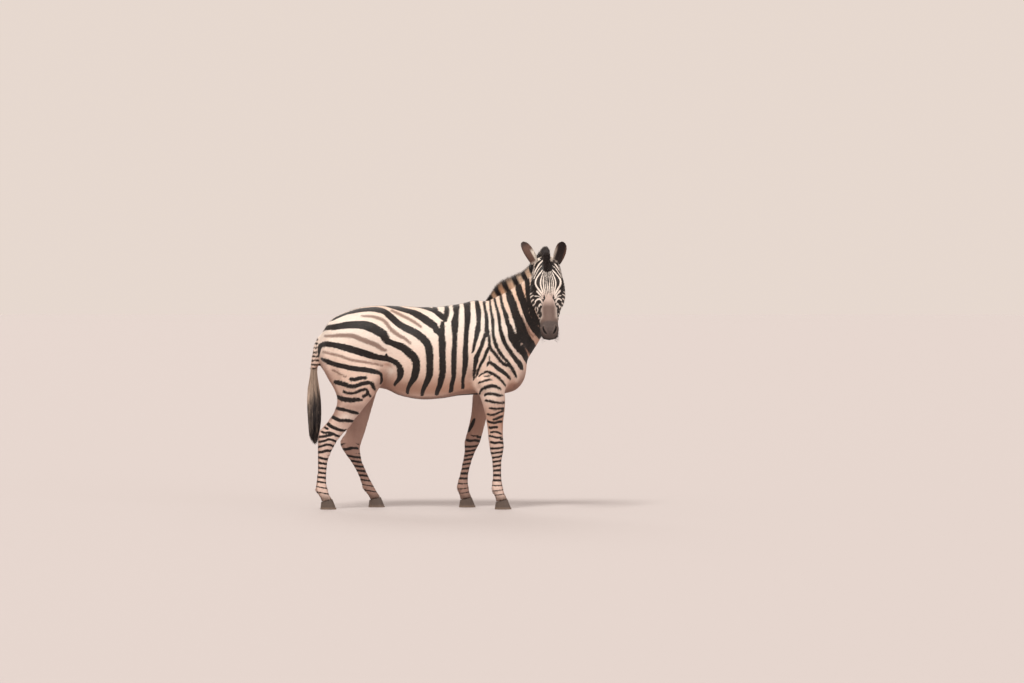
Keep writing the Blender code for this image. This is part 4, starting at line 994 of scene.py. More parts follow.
# White lines of the face, on black: to the side and down from the poll.
faceLines = [
    [(0.032, 0.088, 0.003), (0.046, 0.108, 0.004), (0.06, 0.126, 0.004), (0.071, 0.145, 0.0045),
     (0.077, 0.168, 0.005), (0.074, 0.188, 0.005), (0.063, 0.208, 0.005), (0.05, 0.228, 0.005),
     (0.04, 0.245, 0.004), (0.034, 0.262, 0.004)],
    [(0.025, 0.095, 0.002), (0.034, 0.12, 0.003), (0.042, 0.145, 0.0035), (0.046, 0.168, 0.004),
     (0.047, 0.187, 0.004), (0.043, 0.207, 0.004), (0.037, 0.228, 0.004), (0.031, 0.25, 0.004)],
    [(0.018, 0.098, 0.002), (0.024, 0.125, 0.002), (0.029, 0.15, 0.003), (0.031, 0.175, 0.0035),
     (0.03, 0.198, 0.0035), (0.027, 0.222, 0.004), (0.022, 0.25, 0.004), (0.018, 0.272, 0.004)],
    [(0.011, 0.1, 0.0015), (0.016, 0.13, 0.002), (0.0185, 0.16, 0.002), (0.0185, 0.19, 0.0025),
     (0.016, 0.22, 0.003), (0.012, 0.25, 0.0035), (0.01, 0.27, 0.004)],
    [(0.005, 0.1, 0.0015), (0.0065, 0.13, 0.002), (0.007, 0.16, 0.002), (0.006, 0.19, 0.003),
     (0.0045, 0.22, 0.003), (0.003, 0.26, 0.003)],
    [(0.026, 0.014, 0.004), (0.045, 0.034, 0.005), (0.058, 0.055, 0.005), (0.073, 0.079, 0.005),
     (0.085, 0.1, 0.0045), (0.095, 0.125, 0.004)],
    [(0.034, 0.055, 0.002), (0.05, 0.074, 0.003), (0.064, 0.096, 0.003), (0.077, 0.118, 0.003),
     (0.086, 0.14, 0.003)],
    [(0.06, 0.01, 0.004), (0.076, 0.035, 0.004), (0.09, 0.065, 0.004), (0.1, 0.09, 0.004)],
    [(0.072, 0.22, 0.004), (0.058, 0.238, 0.004), (0.046, 0.255, 0.004), (0.036, 0.275, 0.004)],
    [(0.092, 0.238, 0.003), (0.075, 0.246, 0.003), (0.058, 0.256, 0.0025), (0.044, 0.272, 0.003)],
    [(0.041, 0.3, 0.0045), (0.046, 0.285, 0.0045), (0.056, 0.272, 0.005), (0.069, 0.268, 0.005),
     (0.08, 0.273, 0.005), (0.088, 0.287, 0.005)],
    [(0.047, 0.312, 0.005), (0.054, 0.305, 0.0055), (0.063, 0.315, 0.0065), (0.073, 0.33, 0.0065),
     (0.08, 0.345, 0.005)],
    [(0.046, 0.335, 0.0035), (0.052, 0.352, 0.004), (0.058, 0.368, 0.0045), (0.064, 0.371, 0.006)],
]
# White lines of the cheeks, down from the poll and out of the face: first those that run up
# behind the eye, then a family that runs back from the face to the jaw.
cheekLines = [
    [(0.01, -0.015, 0.0015), (0.052, -0.045, 0.004), (0.07, -0.085, 0.0045), (0.066, -0.125, 0.002)],
    [(0.03, -0.01, 0.0015), (0.075, -0.038, 0.004), (0.097, -0.08, 0.0045), (0.096, -0.13, 0.0045),
     (0.078, -0.165, 0.002)],
    [(0.06, -0.01, 0.0015), (0.1, -0.034, 0.0035), (0.121, -0.075, 0.0045), (0.124, -0.13, 0.0045),
     (0.108, -0.18, 0.002)],
    [(0.092, -0.008, 0.0015), (0.124, -0.03, 0.003), (0.143, -0.066, 0.004), (0.151, -0.115, 0.0045),
     (0.146, -0.17, 0.0045), (0.13, -0.205, 0.002)],
    [(0.166, -0.074, 0.0015), (0.172, -0.1, 0.004), (0.178, -0.14, 0.0045), (0.172, -0.185, 0.0045),
     (0.158, -0.22, 0.002)],
    [(0.212, -0.03, 0.0015), (0.209, -0.062, 0.004), (0.2, -0.1, 0.0045), (0.203, -0.15, 0.0045),
     (0.2, -0.195, 0.0045), (0.188, -0.232, 0.002)],
] + [
    [(start, -0.034 - 0.10 * (start - 0.24), 0.002), (start - 0.008, -0.066, 0.0042),
     (start - 0.016, -0.105, 0.0045), (start - 0.018, -0.145, 0.0042),
     (start - 0.018, -0.145 - 0.55 * (0.34 - start), 0.002)]
    for start in (0.236, 0.262, 0.289, 0.314, 0.34, 0.364, 0.387, 0.408)
]


def ringField(chart, height, first, gap, half, seed):
    # rings round a lower leg or the dock: a repeating band that wavers along the ring
    wave = height + 0.006 * ripple(chart, 26, seed)
    return np.abs(np.mod(wave - first + gap / 2, gap) - gap / 2) - half


def innerLeg(outer, height):
    # 1 on the inner sides of the legs, 0 on their outer sides and on the body above them
    return smoothStep(0.120 - outer, -0.012, 0.022) * (1 - smoothStep(height, 0.8, 0.9))


def stripeField(points, normals):
    # how far each place lies outside the black, in metres; and outside the brown shadows
    folded, left = fold(points)[:2]
    chart = legChart(folded, left, points)[:, [0, 2]]
    drift = np.stack([ripple(points, 9, 7), ripple(points, 9, 8)], 1) * 0.006
    chart = chart + np.where(left > 0, smoothStep(left, 0.02, 0.1), 0)[:, None] * drift
    chart[:, 1] -= markFacts["raised"]
    black = np.min([routesField(chart, barrel + throat), routesField(chart, shoulder) + 0.0012,
                    routesField(chart, haunch) - 0.0014], axis=0) - markFacts["wider"]
    low = routesField(chart, shank) - markFacts["wider"]
    outer = np.abs(left)
    height = points[:, 2]
    inner = innerLeg(outer, height)
    black = black + 0.03 * inner
    black = black + 0.025 * smoothStep(0.10 - outer, 0.0, 0.06) * (1 - smoothStep(height, 0.72, 0.78))
    hind = points[:, 0] < -0.1
    lower = inner * np.where(hind, smoothStep(height, 0.38, 0.46), smoothStep(height, 0.44, 0.5))
    low = low + 0.03 * lower
    tilted = height + 0.10 * (chart[:, 0] + 0.68)
    rings = np.where(hind, ringField(chart, tilted, *markFacts["hindRings"], 31),
                     ringField(chart, height - 0.05 * (chart[:, 0] - 0.38), *markFacts["foreRings"], 33))
    rings = np.where(height < np.where(hind, 0.338, 0.396), rings, 0.03)
    rings = rings + 0.004 * smoothStep(0.20 - height, 0, 0.06)
    black = np.minimum(np.minimum(black, low), np.where(height > 0.085, rings, 0.03))
    shadow = routesField(chart, shadows) - markFacts["wider"] + 0.03 * inner

    # the line along the back, the one under the belly, and the rings of the dock
    crest = smoothStep(normals[:, 2], 0.3, 0.8)
    spine = np.where((points[:, 0] > -0.72) & (points[:, 0] < 0.3), outer - 0.011, 0.03)
    # on the rump a pale line runs along each side of it
    rump = smoothStep(-points[:, 0], 0.3, 0.36) * (1 - smoothStep(-points[:, 0], 0.66, 0.73))
    gap = outer - np.interp(points[:, 0], (-0.72, -0.5, -0.3), (0.024, 0.034, 0.026))
    black = np.where(crest > 0.3, np.maximum(black, 0.011 * rump - np.abs(gap)), black)
    black = np.where(crest > 0.5, np.minimum(black, spine), black)
    below = (normals[:, 2] < -0.3) & (points[:, 0] > -0.28) & (points[:, 0] < 0.3) & (height < 0.8)
    black = np.where(below, np.minimum(black, outer - 0.052), black)
    dock = points[:, 0] < np.interp(height, (0.86, 1.0, 1.06, 1.12), (-0.718, -0.715, -0.738, -0.8))
    dock &= outer < 0.035
    tail = np.abs(np.mod(height, 0.026) - 0.013) - 0.0062 + 0.02 * smoothStep(height, 1.06, 1.1)
    black = np.where(dock, tail, black)
    spot = routeField(chart, markFacts["chestnut"])
    black = np.where((outer < 0.105) & (points[:, 0] > 0), np.minimum(black, spot), black)
    black = np.maximum(black, -routesField(chart, pale))

    # the head has its own charts
    places = toHead(points)
    s, u, v = places.T
    v = v - 0.004
    headNormals = normals @ headAxes.T
    aside = smoothStep(np.abs(headNormals[:, 2]) - 0.55 * np.clip(headNormals[:, 1], 0, 1), 0.42, 0.62)
    face = np.stack([np.abs(v) + 0.0012 * ripple(places, 60, 41), s + 0.002 * ripple(places, 40, 42)], 1)
    front = routesField(face, faceLines)
    cheek = routesField(places[:, :2] + 0.0015 * ripple(places, 50, 43)[:, None], cheekLines)
    lines = front * (1 - aside) + cheek * aside
    bridge = np.maximum(np.abs(v) - np.interp(s, (0.22, 0.25, 0.275, 0.3, 0.34, 0.4, 0.44),
                                               (-0.012, 0.004, 0.022, 0.037, 0.046, 0.05, 0.075)),
                        0.235 - s) + 0.002 * ripple(places, 90, 44)
    bridgeEnd = 0.385 - s + 0.03 * smoothStep(-u, 0.03, 0.09)
    bridge = np.where(s > 0.385, np.minimum(bridge, bridgeEnd), bridge)
    lines = np.minimum(lines, bridge)
    lines = np.maximum(lines, markFacts["eyeRing"] - eyeDistance(points))
    lip = np.where((s > 0.44) & (u < -0.086), s - 0.455, -0.02)
    lines = np.maximum(lines, lip)
    onHead = smoothStep(headness(points), -0.01, 0.008) * inHead(places)
    black = black * (1 - onHead) - lines * onHead
    ear = earPlaces(points)
    black = np.where(ear > 0.17, 0.03, black)
    return black, np.where(onHead > 0.3, 0.03, shadow)


# Coat tones as they look; some stand for light. The warm tone is painted bounce light from the ground,
# the belly tone painted shade warmed by that bounce, the mauve tone painted shade, the dust tone dust
# with painted shade, and the earInShade tone painted shade inside the ears.
coatTones = {
    "pale": (245, 234, 224), "warm": (234, 206, 190), "belly": (192, 142, 116),
    "mauveShade": (150, 114, 101), "leg": (222, 196, 184), "dustAndShade": (184, 134, 108),
    "crest": (230, 178, 138), "bridge": (190, 168, 158), "nose": (112, 93, 86),
    "muzzle": (84, 73, 70), "lip": (24, 18, 18), "earBack": (96, 70, 59), "earEdge": (52, 37, 32),
    "earHair": (232, 222, 210), "earInShade": (44, 33, 31), "pastern": (112, 92, 82),
}


# Soft patches of tone on both sides: tone, x, z, half length, half height, strength. The mauve ones are
# painted shade: in the flank fold, under the flank, behind the elbow, at the back of the thigh and on the
# gaskin; the pale ones beside the flank fold and low on the gaskin are painted highlights, and the warm
# one is painted bounce light along the bottom of the belly.
tonePatches = [
    ("mauveShade", -0.32, 0.8, 0.06, 0.08, 0.6), ("mauveShade", -0.2, 0.765, 0.14, 0.045, 0.45),
    ("pale", -0.275, 0.868, 0.035, 0.025, 0.6), ("mauveShade", -0.53, 0.64, 0.1, 0.03, 0.55),
    ("mauveShade", -0.62, 0.592, 0.035, 0.022, 0.6), ("mauveShade", -0.665, 0.815, 0.04, 0.06, 0.55),
    ("pale", -0.55, 0.582, 0.045, 0.016, 0.7), ("mauveShade", 0.215, 0.85, 0.03, 0.07, 0.35),
    ("warm", -0.05, 0.7, 0.25, 0.022, 0.55), ("pale", 0.34, 0.72, 0.07, 0.06, 0.5),
]


def groundColours(points, normals):
    # the coat's colour where there is no stripe, with painted shade, painted highlights and painted
    # bounce light laid into it
    tones = {key: tone(*value) for key, value in coatTones.items()}

    def lay(base, key, amount):
        amount = np.clip(amount, 0, 1)[:, None]
        return base * (1 - amount) + tones[key] * amount

    height = points[:, 2]
    folded, left, row = fold(points)
    outer = np.abs(left)
    patchy = 0.5 + 0.5 * ripple(points, 14, 11)
    colour = np.tile(tones["pale"], (len(points), 1))
    # painted light: lower on the body the coat turns warmer, standing for warm light bounced up from the
    # ground
    colour = lay(colour, "warm", 0.85 * smoothStep(-height, -1.16, -0.82) + 0.16 * patchy)
    # painted shade: what faces down takes the belly tone, warmed as if by light bounced from the ground
    under = smoothStep(-normals[:, 2], 0.15, 0.8)
    colour = lay(colour, "belly", under * 0.85 * (1 - smoothStep(height, 0.95, 1.1)))
    neck = smoothStep(points[:, 0], 0.42, 0.52) * smoothStep(height, 1.12, 1.3)
    colour = lay(colour, "crest", neck * 0.55 * smoothStep(row / 160.0, 0.55, 0.75) * patchy)
    colour = lay(colour, "belly", 0.75 * smoothStep(folded[:, 0], 0.53, 0.58) * (height < 1.3)
                 * smoothStep(-height, -1.24, -1.16))
    colour = lay(colour, "crest", 0.30 * smoothStep(height, 1.12, 1.22) * patchy)
    leg = 1 - smoothStep(height, 0.62, 0.8)
    colour = lay(colour, "leg", leg * 0.75)
    # dust with painted shade: the forelegs turn darker and orange-brown round the knees
    kneeDustAndShade = 0.85 * (points[:, 0] > 0) * bell(height - 0.53, 0.12) * (0.5 + 0.5 * patchy)
    colour = lay(colour, "dustAndShade", kneeDustAndShade)
    # painted shade and painted highlights from the patches above
    for key, x, z, length, tall, amount in tonePatches:
        near = ((points[:, 0] - x) / length) ** 2 + ((height - z) / tall) ** 2
        colour = lay(colour, key, amount * np.exp(-near))
    # painted shade: the inner sides of the legs and the rear-facing backs of the haunches are darkened to
    # mauve
    inner = innerLeg(outer, height)
    behind = (smoothStep(-normals[:, 0], 0.35, 0.8) * (points[:, 0] < -0.35)
              * (1 - smoothStep(height, 0.86, 1.0)))
    colour = lay(colour, "mauveShade", np.maximum(inner * 0.8, behind * 0.7))
    colour = lay(colour, "pastern", 0.75 * (1 - smoothStep(height, 0.07, 0.105)))
    places = toHead(points)
    s, u, v = places.T
    onHead = smoothStep(headness(points), -0.01, 0.008) * inHead(places)
    skull = np.tile(tones["pale"], (len(points), 1))
    middle = 1 - smoothStep(np.abs(v), 0.024, 0.058)
    skull = lay(skull, "bridge", smoothStep(s, 0.21, 0.265) * middle * 0.95)
    skull = lay(skull, "bridge", 0.35 * smoothStep(-u, 0.08, 0.15))
    edge = s + 0.010 * ripple(points, 30, 12)
    skull = lay(skull, "nose", smoothStep(edge, 0.268, 0.325) * (0.30 + 0.70 * middle))
    skull = lay(skull, "nose", smoothStep(edge, 0.385, 0.415))
    skull = lay(skull, "muzzle", smoothStep(edge, 0.418, 0.44))
    skull = lay(skull, "lip", 0.9 * smoothStep(s + 0.6 * u, 0.43, 0.445) * smoothStep(-u, 0.05, 0.08))
    hole = routeField(np.stack([np.abs(v), s], 1), nostril, 0.03)
    front = smoothStep((normals @ headAxes.T)[:, 1], -0.1, 0.3)
    skull = lay(skull, "nose", 0.25 * bell(hole - 0.006, 0.005) * front)
    skull = skull * np.where((hole < 0.0005) & (s > 0.44), 0.15, 1.0)[:, None]
    colour = colour * (1 - onHead[:, None]) + skull * onHead[:, None]

    for side in ("left", "right"):
        root, tip, up, facing, across = earAxes(side)
        place = points - root
        rise = place @ up / np.linalg.norm(tip - root)
        aside = np.linalg.norm(place - rise[:, None] * (tip - root), axis=1)
        mine = (earPlaces(points) > 0.0) & (aside < 0.05)
        inside = smoothStep(normals @ facing, 0.05, 0.35)
        rim = smoothStep(np.abs(place @ across), 0.018, 0.032)
        pinna = lay(np.tile(tones["earBack"], (len(points), 1)), "earEdge", smoothStep(rise, 0.72, 0.95))
        near = (place - rise[:, None] * (tip - root)) @ faceLeft * (1 if side == "right" else -1)
        pinna = lay(pinna, "earEdge", 0.6 * bell(near + 0.03, 0.012))
        pinna = lay(pinna, "earHair", 0.9 * smoothStep(-rise, -0.26, -0.12))
        pinna = lay(pinna, "earHair", 0.95 * smoothStep(near, 0.01, 0.02)
                    * (1 - smoothStep(rise, 0.5, 0.68)))
        # painted shade: the inside of the ear's cup is dark, with pale hair along one rim
        shadedInside = lay(np.tile(tones["earInShade"], (len(points), 1)), "earBack", rim)
        shadedInside = lay(shadedInside, "earHair", 0.75 * rim * (near > 0) * (1 - smoothStep(rise, 0.55, 0.8)))
        pinna = pinna * (1 - inside[:, None]) + shadedInside * inside[:, None]
        fade = (mine * smoothStep(rise, 0.02, 0.16))[:, None]
        colour = colour * (1 - fade) + pinna * fade
    return colour


def markSkin(mesh):
    points, normals = readPoints(mesh), readPoints(mesh, "normal")
    black, shadow = stripeField(points, normals)
    setFloats(mesh, "stripe", black)
    setFloats(mesh, "shadow", shadow)
    setFloats(mesh, "upright", uprightness(points))
    setColours(mesh, "ground", groundColours(points, normals))


def uprightness(points):
    # 1 where the hair runs down, 0 where it runs back along the body
    legs = 1 - smoothStep(points[:, 2], 0.66, 0.86)
    return np.maximum(legs, smoothStep(points[:, 0], 0.42, 0.6))


def coatPaint():
    paint = Paint("zebra_coat", Roughness=0.58, Specular_IOR_Level=0.36,
                  Sheen_Weight=0.05, Sheen_Roughness=0.4)
    stripe, shadow = paint.attribute("stripe"), paint.attribute("shadow")
    ground = paint.attribute("ground", "Color")
    upright = paint.attribute("upright")
    ragged = paint.noise(150, detail=3.0) - 0.5
    black = 1 - (stripe + ragged * 0.004).between(-0.0014, 0.0014)
    brown = 1 - (shadow + ragged * 0.008).between(-0.006, 0.005)
    along, down = paint.noise(190, (0.22, 1, 1)), paint.noise(190, (1, 1, 0.22))
    streak = along * (1 - upright) + down * upright
    patch = paint.noise(7, detail=3.0)
    light = paint.mix((streak * 0.9 + patch * 0.5 - 0.3) * 0.42, ground, tone(206, 184, 168),
                      "MULTIPLY")
    light = paint.mix(brown * 0.8, light, tone(104, 70, 55))
    dark = paint.mix(streak.between(0.35, 0.75) * 0.7, tone(12, 7, 6), tone(45, 30, 25))
    paint.into(Base_Color=paint.mix(black, light, dark),
               Roughness=0.66 - black * 0.16 + streak * 0.08,
               Normal=paint.bump(streak, 0.35, 0.0016))
    return paint.material


shapeSkin(skin)
mesh = skin.data
markSkin(mesh)
mesh.calc_loop_triangles()
print("skin: shaped and marked,", len(mesh.loop_triangles), "triangles")
mesh.shade_smooth()
coatMaterial = coatPaint()
mesh.materials.clear()
mesh.materials.append(coatMaterial)
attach(skin, "root")
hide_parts(*fleshNodes, *earNodes)


# ---- spikes: hairs, tufts and strands, all made alike

def spikeMesh(name, spine, wide, sides, thin=0.4, lookOut=None):
    # spine: for each spike, its points from root to tip; each point but the last carries a
    # three-cornered ring, wide across `sides` and thinner the other way; the last is the tip
    count, levels = spine.shape[:2]
    rings = levels - 1
    ahead = unit(np.gradient(spine, axis=1))[:, :rings]
    across = unit(sides[:, None, :] - ahead * (sides[:, None, :] * ahead).sum(axis=2, keepdims=True))
    upward = np.cross(ahead, across)
    half = wide[:, :rings, None] / 2
    corners = np.stack([spine[:, :rings] + across * half - upward * half * thin * 0.5,
                        spine[:, :rings] + upward * half * thin,
                        spine[:, :rings] - across * half - upward * half * thin * 0.5], axis=2)
    points = np.concatenate([corners.reshape(count, rings * 3, 3), spine[:, -1:]], axis=1)
    each = rings * 3 + 1
    first = (np.arange(count) * each)[:, None, None]
    k = np.arange(3)
    after = (k + 1) % 3
    levelsLow = (np.arange(rings - 1) * 3)[:, None]
    quads = np.stack([levelsLow + k, levelsLow + after, levelsLow + 3 + after, levelsLow + 3 + k], -1)
    tips = np.stack([(rings - 1) * 3 + k, (rings - 1) * 3 + after, np.full(3, rings * 3)], -1)
    faces = [(first + quads.reshape(1, -1, 4)).reshape(-1, 4), (first + tips[None]).reshape(-1, 3),
             (first[:, 0] + np.array([[2, 1, 0]])).reshape(-1, 3)]
    mesh = bpy.data.meshes.new(name)
    corner = np.concatenate([part.ravel() for part in faces])
    sizes = np.concatenate([np.full(len(part), part.shape[1]) for part in faces])
    mesh.vertices.add(count * each)
    mesh.vertices.foreach_set("co", points.reshape(-1).astype(np.float32))
    mesh.loops.add(len(corner))
    mesh.loops.foreach_set("vertex_index", corner.astype(np.int32))
    mesh.polygons.add(len(sizes))
    mesh.polygons.foreach_set("loop_start", (np.cumsum(sizes) - sizes).astype(np.int32))
    mesh.update(calc_edges=True)
    mesh.shade_smooth()
    if lookOut is not None:
        # short hair takes the light as the skin below it does, so the coat looks sleek
        own = readPoints(mesh, "normal")
        lean = unit(0.30 * own + np.repeat(lookOut, each, axis=0))
        mesh.normals_split_custom_set_from_vertices(lean.astype(np.float32))
    return mesh, corner, each


def rootMap(mesh, corner, each, rootPlaces):
    # the baking map: each spike is a small patch at its root's place on the unwrapped skin
    rings = (each - 1) // 3
    level = np.append(np.repeat(np.arange(rings), 3), rings)
    turn = np.append(np.tile(np.arange(3), rings), 0) * 2 * math.pi / 3
    reach = 0.0015 * (1 - level / rings)
    patch = np.stack([reach * np.cos(turn), reach * np.sin(turn)], 1)
    layer = mesh.uv_layers.new(name="OFBake")
    places = np.clip(rootPlaces[corner // each] + patch[corner % each], 0.0, 1.0)
    layer.data.foreach_set("uv", places.astype(np.float32).ravel())


def perSpike(values, each):
    return np.repeat(values, each, axis=0)


# ---- the coat: tufts that lie along the body

coatFacts = {
    "count": 108000,
    "limit": 19500,  # tufts in one piece
    "lift": 0.001,   # how far the tufts' backs stand off the skin
}


def coatWay(points, normals):
    # the lie of the coat: back along the body, down the legs, down the face to the muzzle,
    # back over the poll, down the neck to the withers, and up the ears
    row = nearestRow(points, planeMiddle)
    way = -planeAlong[row] + np.array([0, 0, -0.3])
    legs = (1 - smoothStep(points[:, 2], 0.7, 0.95))[:, None]
    way = way * (1 - legs) + np.array([-0.1, 0, -1.0]) * legs
    rump = (smoothStep(-points[:, 0], 0.45, 0.7) * smoothStep(points[:, 2], 0.8, 1.0))[:, None]
    way = way * (1 - rump) + np.array([-0.5, 0, -0.9]) * rump
    places = toHead(points)
    onHead = smoothStep(headness(points), -0.01, 0.02) * inHead(places)
    up = smoothStep(-places[:, 0], -0.13, -0.07)[:, None]
    outwards = np.sign(places[:, 2])[:, None] * faceLeft
    face = (faceDown + 0.35 * outwards) * (1 - up) + (-faceDown + 0.5 * outwards) * up
    cheek = smoothStep(-places[:, 1], 0.05, 0.12)[:, None]
    face = face * (1 - cheek) + (faceDown * 0.5 - faceFront) * cheek
    way = way * (1 - onHead[:, None]) + face * onHead[:, None]
    ear = earPlaces(points)
    for side in ("left", "right"):
        root, tip = earAxes(side)[:2]
        mine = (ear > 0.05) & (np.linalg.norm(points - (root + tip) / 2, axis=1) < 0.11)
        way = np.where(mine[:, None], unit(tip - root), way)
    way = way + 0.16 * np.stack([ripple(points, 22, 50 + k) for k in range(3)], 1)
    return unit(way - normals * (way * normals).sum(axis=1, keepdims=True))


def skinCorners(mesh):
    # for each triangle of the skin: its corners' points, and their places on the unwrap
    mesh.calc_loop_triangles()
    count = len(mesh.loop_triangles)
    vertex, loop = np.empty(count * 3, dtype=np.int32), np.empty(count * 3, dtype=np.int32)
    mesh.loop_triangles.foreach_get("vertices", vertex)
    mesh.loop_triangles.foreach_get("loops", loop)
    flat = np.empty(len(mesh.loops) * 2)
    mesh.uv_layers["unwrap"].data.foreach_get("uv", flat)
    return vertex.reshape(-1, 3), flat.reshape(-1, 2)[loop.reshape(-1, 3)]


def unwrapSkin(skin):
    skin.data.uv_layers.new(name="unwrap")
    bpy.context.view_layer.objects.active = skin
    skin.select_set(True)
    bpy.ops.object.mode_set(mode="EDIT")
    bpy.ops.mesh.select_all(action="SELECT")
    bpy.ops.uv.smart_project(angle_limit=math.radians(62), island_margin=0.001)
    bpy.ops.object.mode_set(mode="OBJECT")


def makeCoat(skin):
    unwrapSkin(skin)
    print("coat: skin unwrapped")
    mesh = skin.data
    points, normals = readPoints(mesh), readPoints(mesh, "normal")
    vertex, unwrap = skinCorners(mesh)
    corner = points[vertex]
    area = np.linalg.norm(np.cross(corner[:, 1] - corner[:, 0], corner[:, 2] - corner[:, 0]), axis=1) / 2
    middle = corner.mean(axis=1)
    places = toHead(middle)
    onHead = (headness(middle) > 0) & inHead(places)
    ear = earPlaces(middle) > 0.1
    density = np.where(onHead, 3.2, 1.0) + np.where(ear, 2.5, 0)
    density *= 1 + 0.8 * (1 - smoothStep(middle[:, 2], 0.45, 0.7))
    nearEye = eyeDistance(middle)
    hole = routeField(np.stack([np.abs(places[:, 2]), places[:, 0]], 1), nostril, 0.03)
    bare = (nearEye < 0.0235) | ((hole < 0.003) & (places[:, 0] > 0.44)) | (middle[:, 2] < 0.052)
    mouth = routeField(places[:, :2], mouthLine, 0.02)
    bare |= (mouth < 0.0025) & (places[:, 0] > 0.43) & onHead
    weight = np.where(bare, 0, area * density)
    total = np.cumsum(weight)
    draws = (np.arange(coatFacts["count"]) + rng.random(coatFacts["count"])) / coatFacts["count"]
    chosen = np.searchsorted(total, draws * total[-1])
    mixture = rng.random((len(chosen), 2))
    flip = mixture.sum(axis=1) > 1
    mixture[flip] = 1 - mixture[flip]
    share = np.stack([1 - mixture.sum(axis=1), mixture[:, 0], mixture[:, 1]], 1)[:, :, None]
    root = (corner[chosen] * share).sum(axis=1)
    normal = unit((normals[vertex[chosen]] * share).sum(axis=1))
    place = (unwrap[chosen] * share).sum(axis=1)
    way = coatWay(root, normal)

    # length, width and how far each tuft stands off, by where it grows
    height = root[:, 2]
    headPlace = toHead(root)
    onHead = smoothStep(headness(root), -0.01, 0.02) * inHead(headPlace)
    upEar = earPlaces(root)
    ear = smoothStep(upEar, 0.05, 0.2)
    leg = 1 - smoothStep(height, 0.45, 0.75)
    length = 0.0165 * (1 - 0.40 * leg) * (1 - 0.62 * onHead)
    length = length * (1 - ear) + 0.0085 * ear * (1 - 0.5 * smoothStep(upEar, 0.8, 0.97))
    left = fold(root)[1]
    keel = bell(left, 0.03) * smoothStep(-normal[:, 2], 0.6, 0.9) * (height > 0.6)
    fetlock = bell(height - 0.118, 0.022) * smoothStep(-normal[:, 0], 0.3, 0.8)
    chin = smoothStep(-headPlace[:, 1], 0.1, 0.12) * smoothStep(headPlace[:, 0], 0.36, 0.44) * onHead
    jaw = bell(headness(root), 0.012) * (1 - ear)
    length = length * (1 + 0.5 * keel + 1.3 * fetlock + 0.5 * chin + 0.3 * jaw)
    length *= rng.uniform(0.75, 1.2, len(root))
    wide = np.where(onHead > 0.5, 0.0019, 0.0036) * (1 - 0.25 * leg) * rng.uniform(0.8, 1.25, len(root))
    wide = wide * (1 - 0.3 * ear)
    stand = coatFacts["lift"] * (1 - 0.62 * onHead) * (1 - 0.3 * ear) * rng.uniform(0.7, 1.1, len(root))
    stand = stand * (1 + 0.8 * fetlock + 0.4 * keel)
    side = np.cross(normal, way)
    way = unit(way + side * rng.normal(0, 0.13, len(root))[:, None])
    step = np.array([-0.05, 0.5, 1.0])
    rise = np.array([-0.45, 1.0, 0.55])
    spine = (root[:, None, :] + way[:, None, :] * (length[:, None] * step)[:, :, None]
             + normal[:, None, :] * (stand[:, None] * rise)[:, :, None])
    black, shadow = stripeField(root + way * (0.42 * length)[:, None], normal)
    # the tufts take the skin's colour, with its painted shade, highlights and bounce light
    ground = groundColours(root, normal)
    ground = ground * rng.uniform(0.95, 1.04, len(root))[:, None]
    upright = uprightness(root)
    widths = wide[:, None] * np.array([0.8, 1.0, 0.0])
    print("coat: roots placed")

    # pieces of the coat, by parts of the body
    part = np.where(onHead + ear > 0.4, 0, np.where(height < 0.62, 1, np.where(root[:, 0] > 0.36, 2,
           np.where(root[:, 0] > -0.02, 3, np.where(root[:, 0] > -0.36, 4, 5)))))
    names = ["coat_head", "coat_legs", "coat_neck", "coat_barrel", "coat_loin", "coat_haunch"]
    for index, name in enumerate(names):
        every = np.flatnonzero(part == index)
        pieces = int(math.ceil(len(every) / coatFacts["limit"]))
        for number, these in enumerate(np.array_split(every, pieces)):
            label = f"{name}_{number + 1}"
            tufts, loops, each = spikeMesh(label, spine[these], widths[these], side[these],
                                           0.2, normal[these])
            rootMap(tufts, loops, each, place[these])
            for key, values in (("stripe", black), ("shadow", shadow), ("upright", upright)):
                setFloats(tufts, key, perSpike(values[these], each))
            setColours(tufts, "ground", perSpike(ground[these], each))
            tufts.materials.append(coatMaterial)
            item = newObject(label, tufts)
            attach(item, "root")
            print("coat:", label, len(these), "tufts")


# ---- mane, forelock and tail

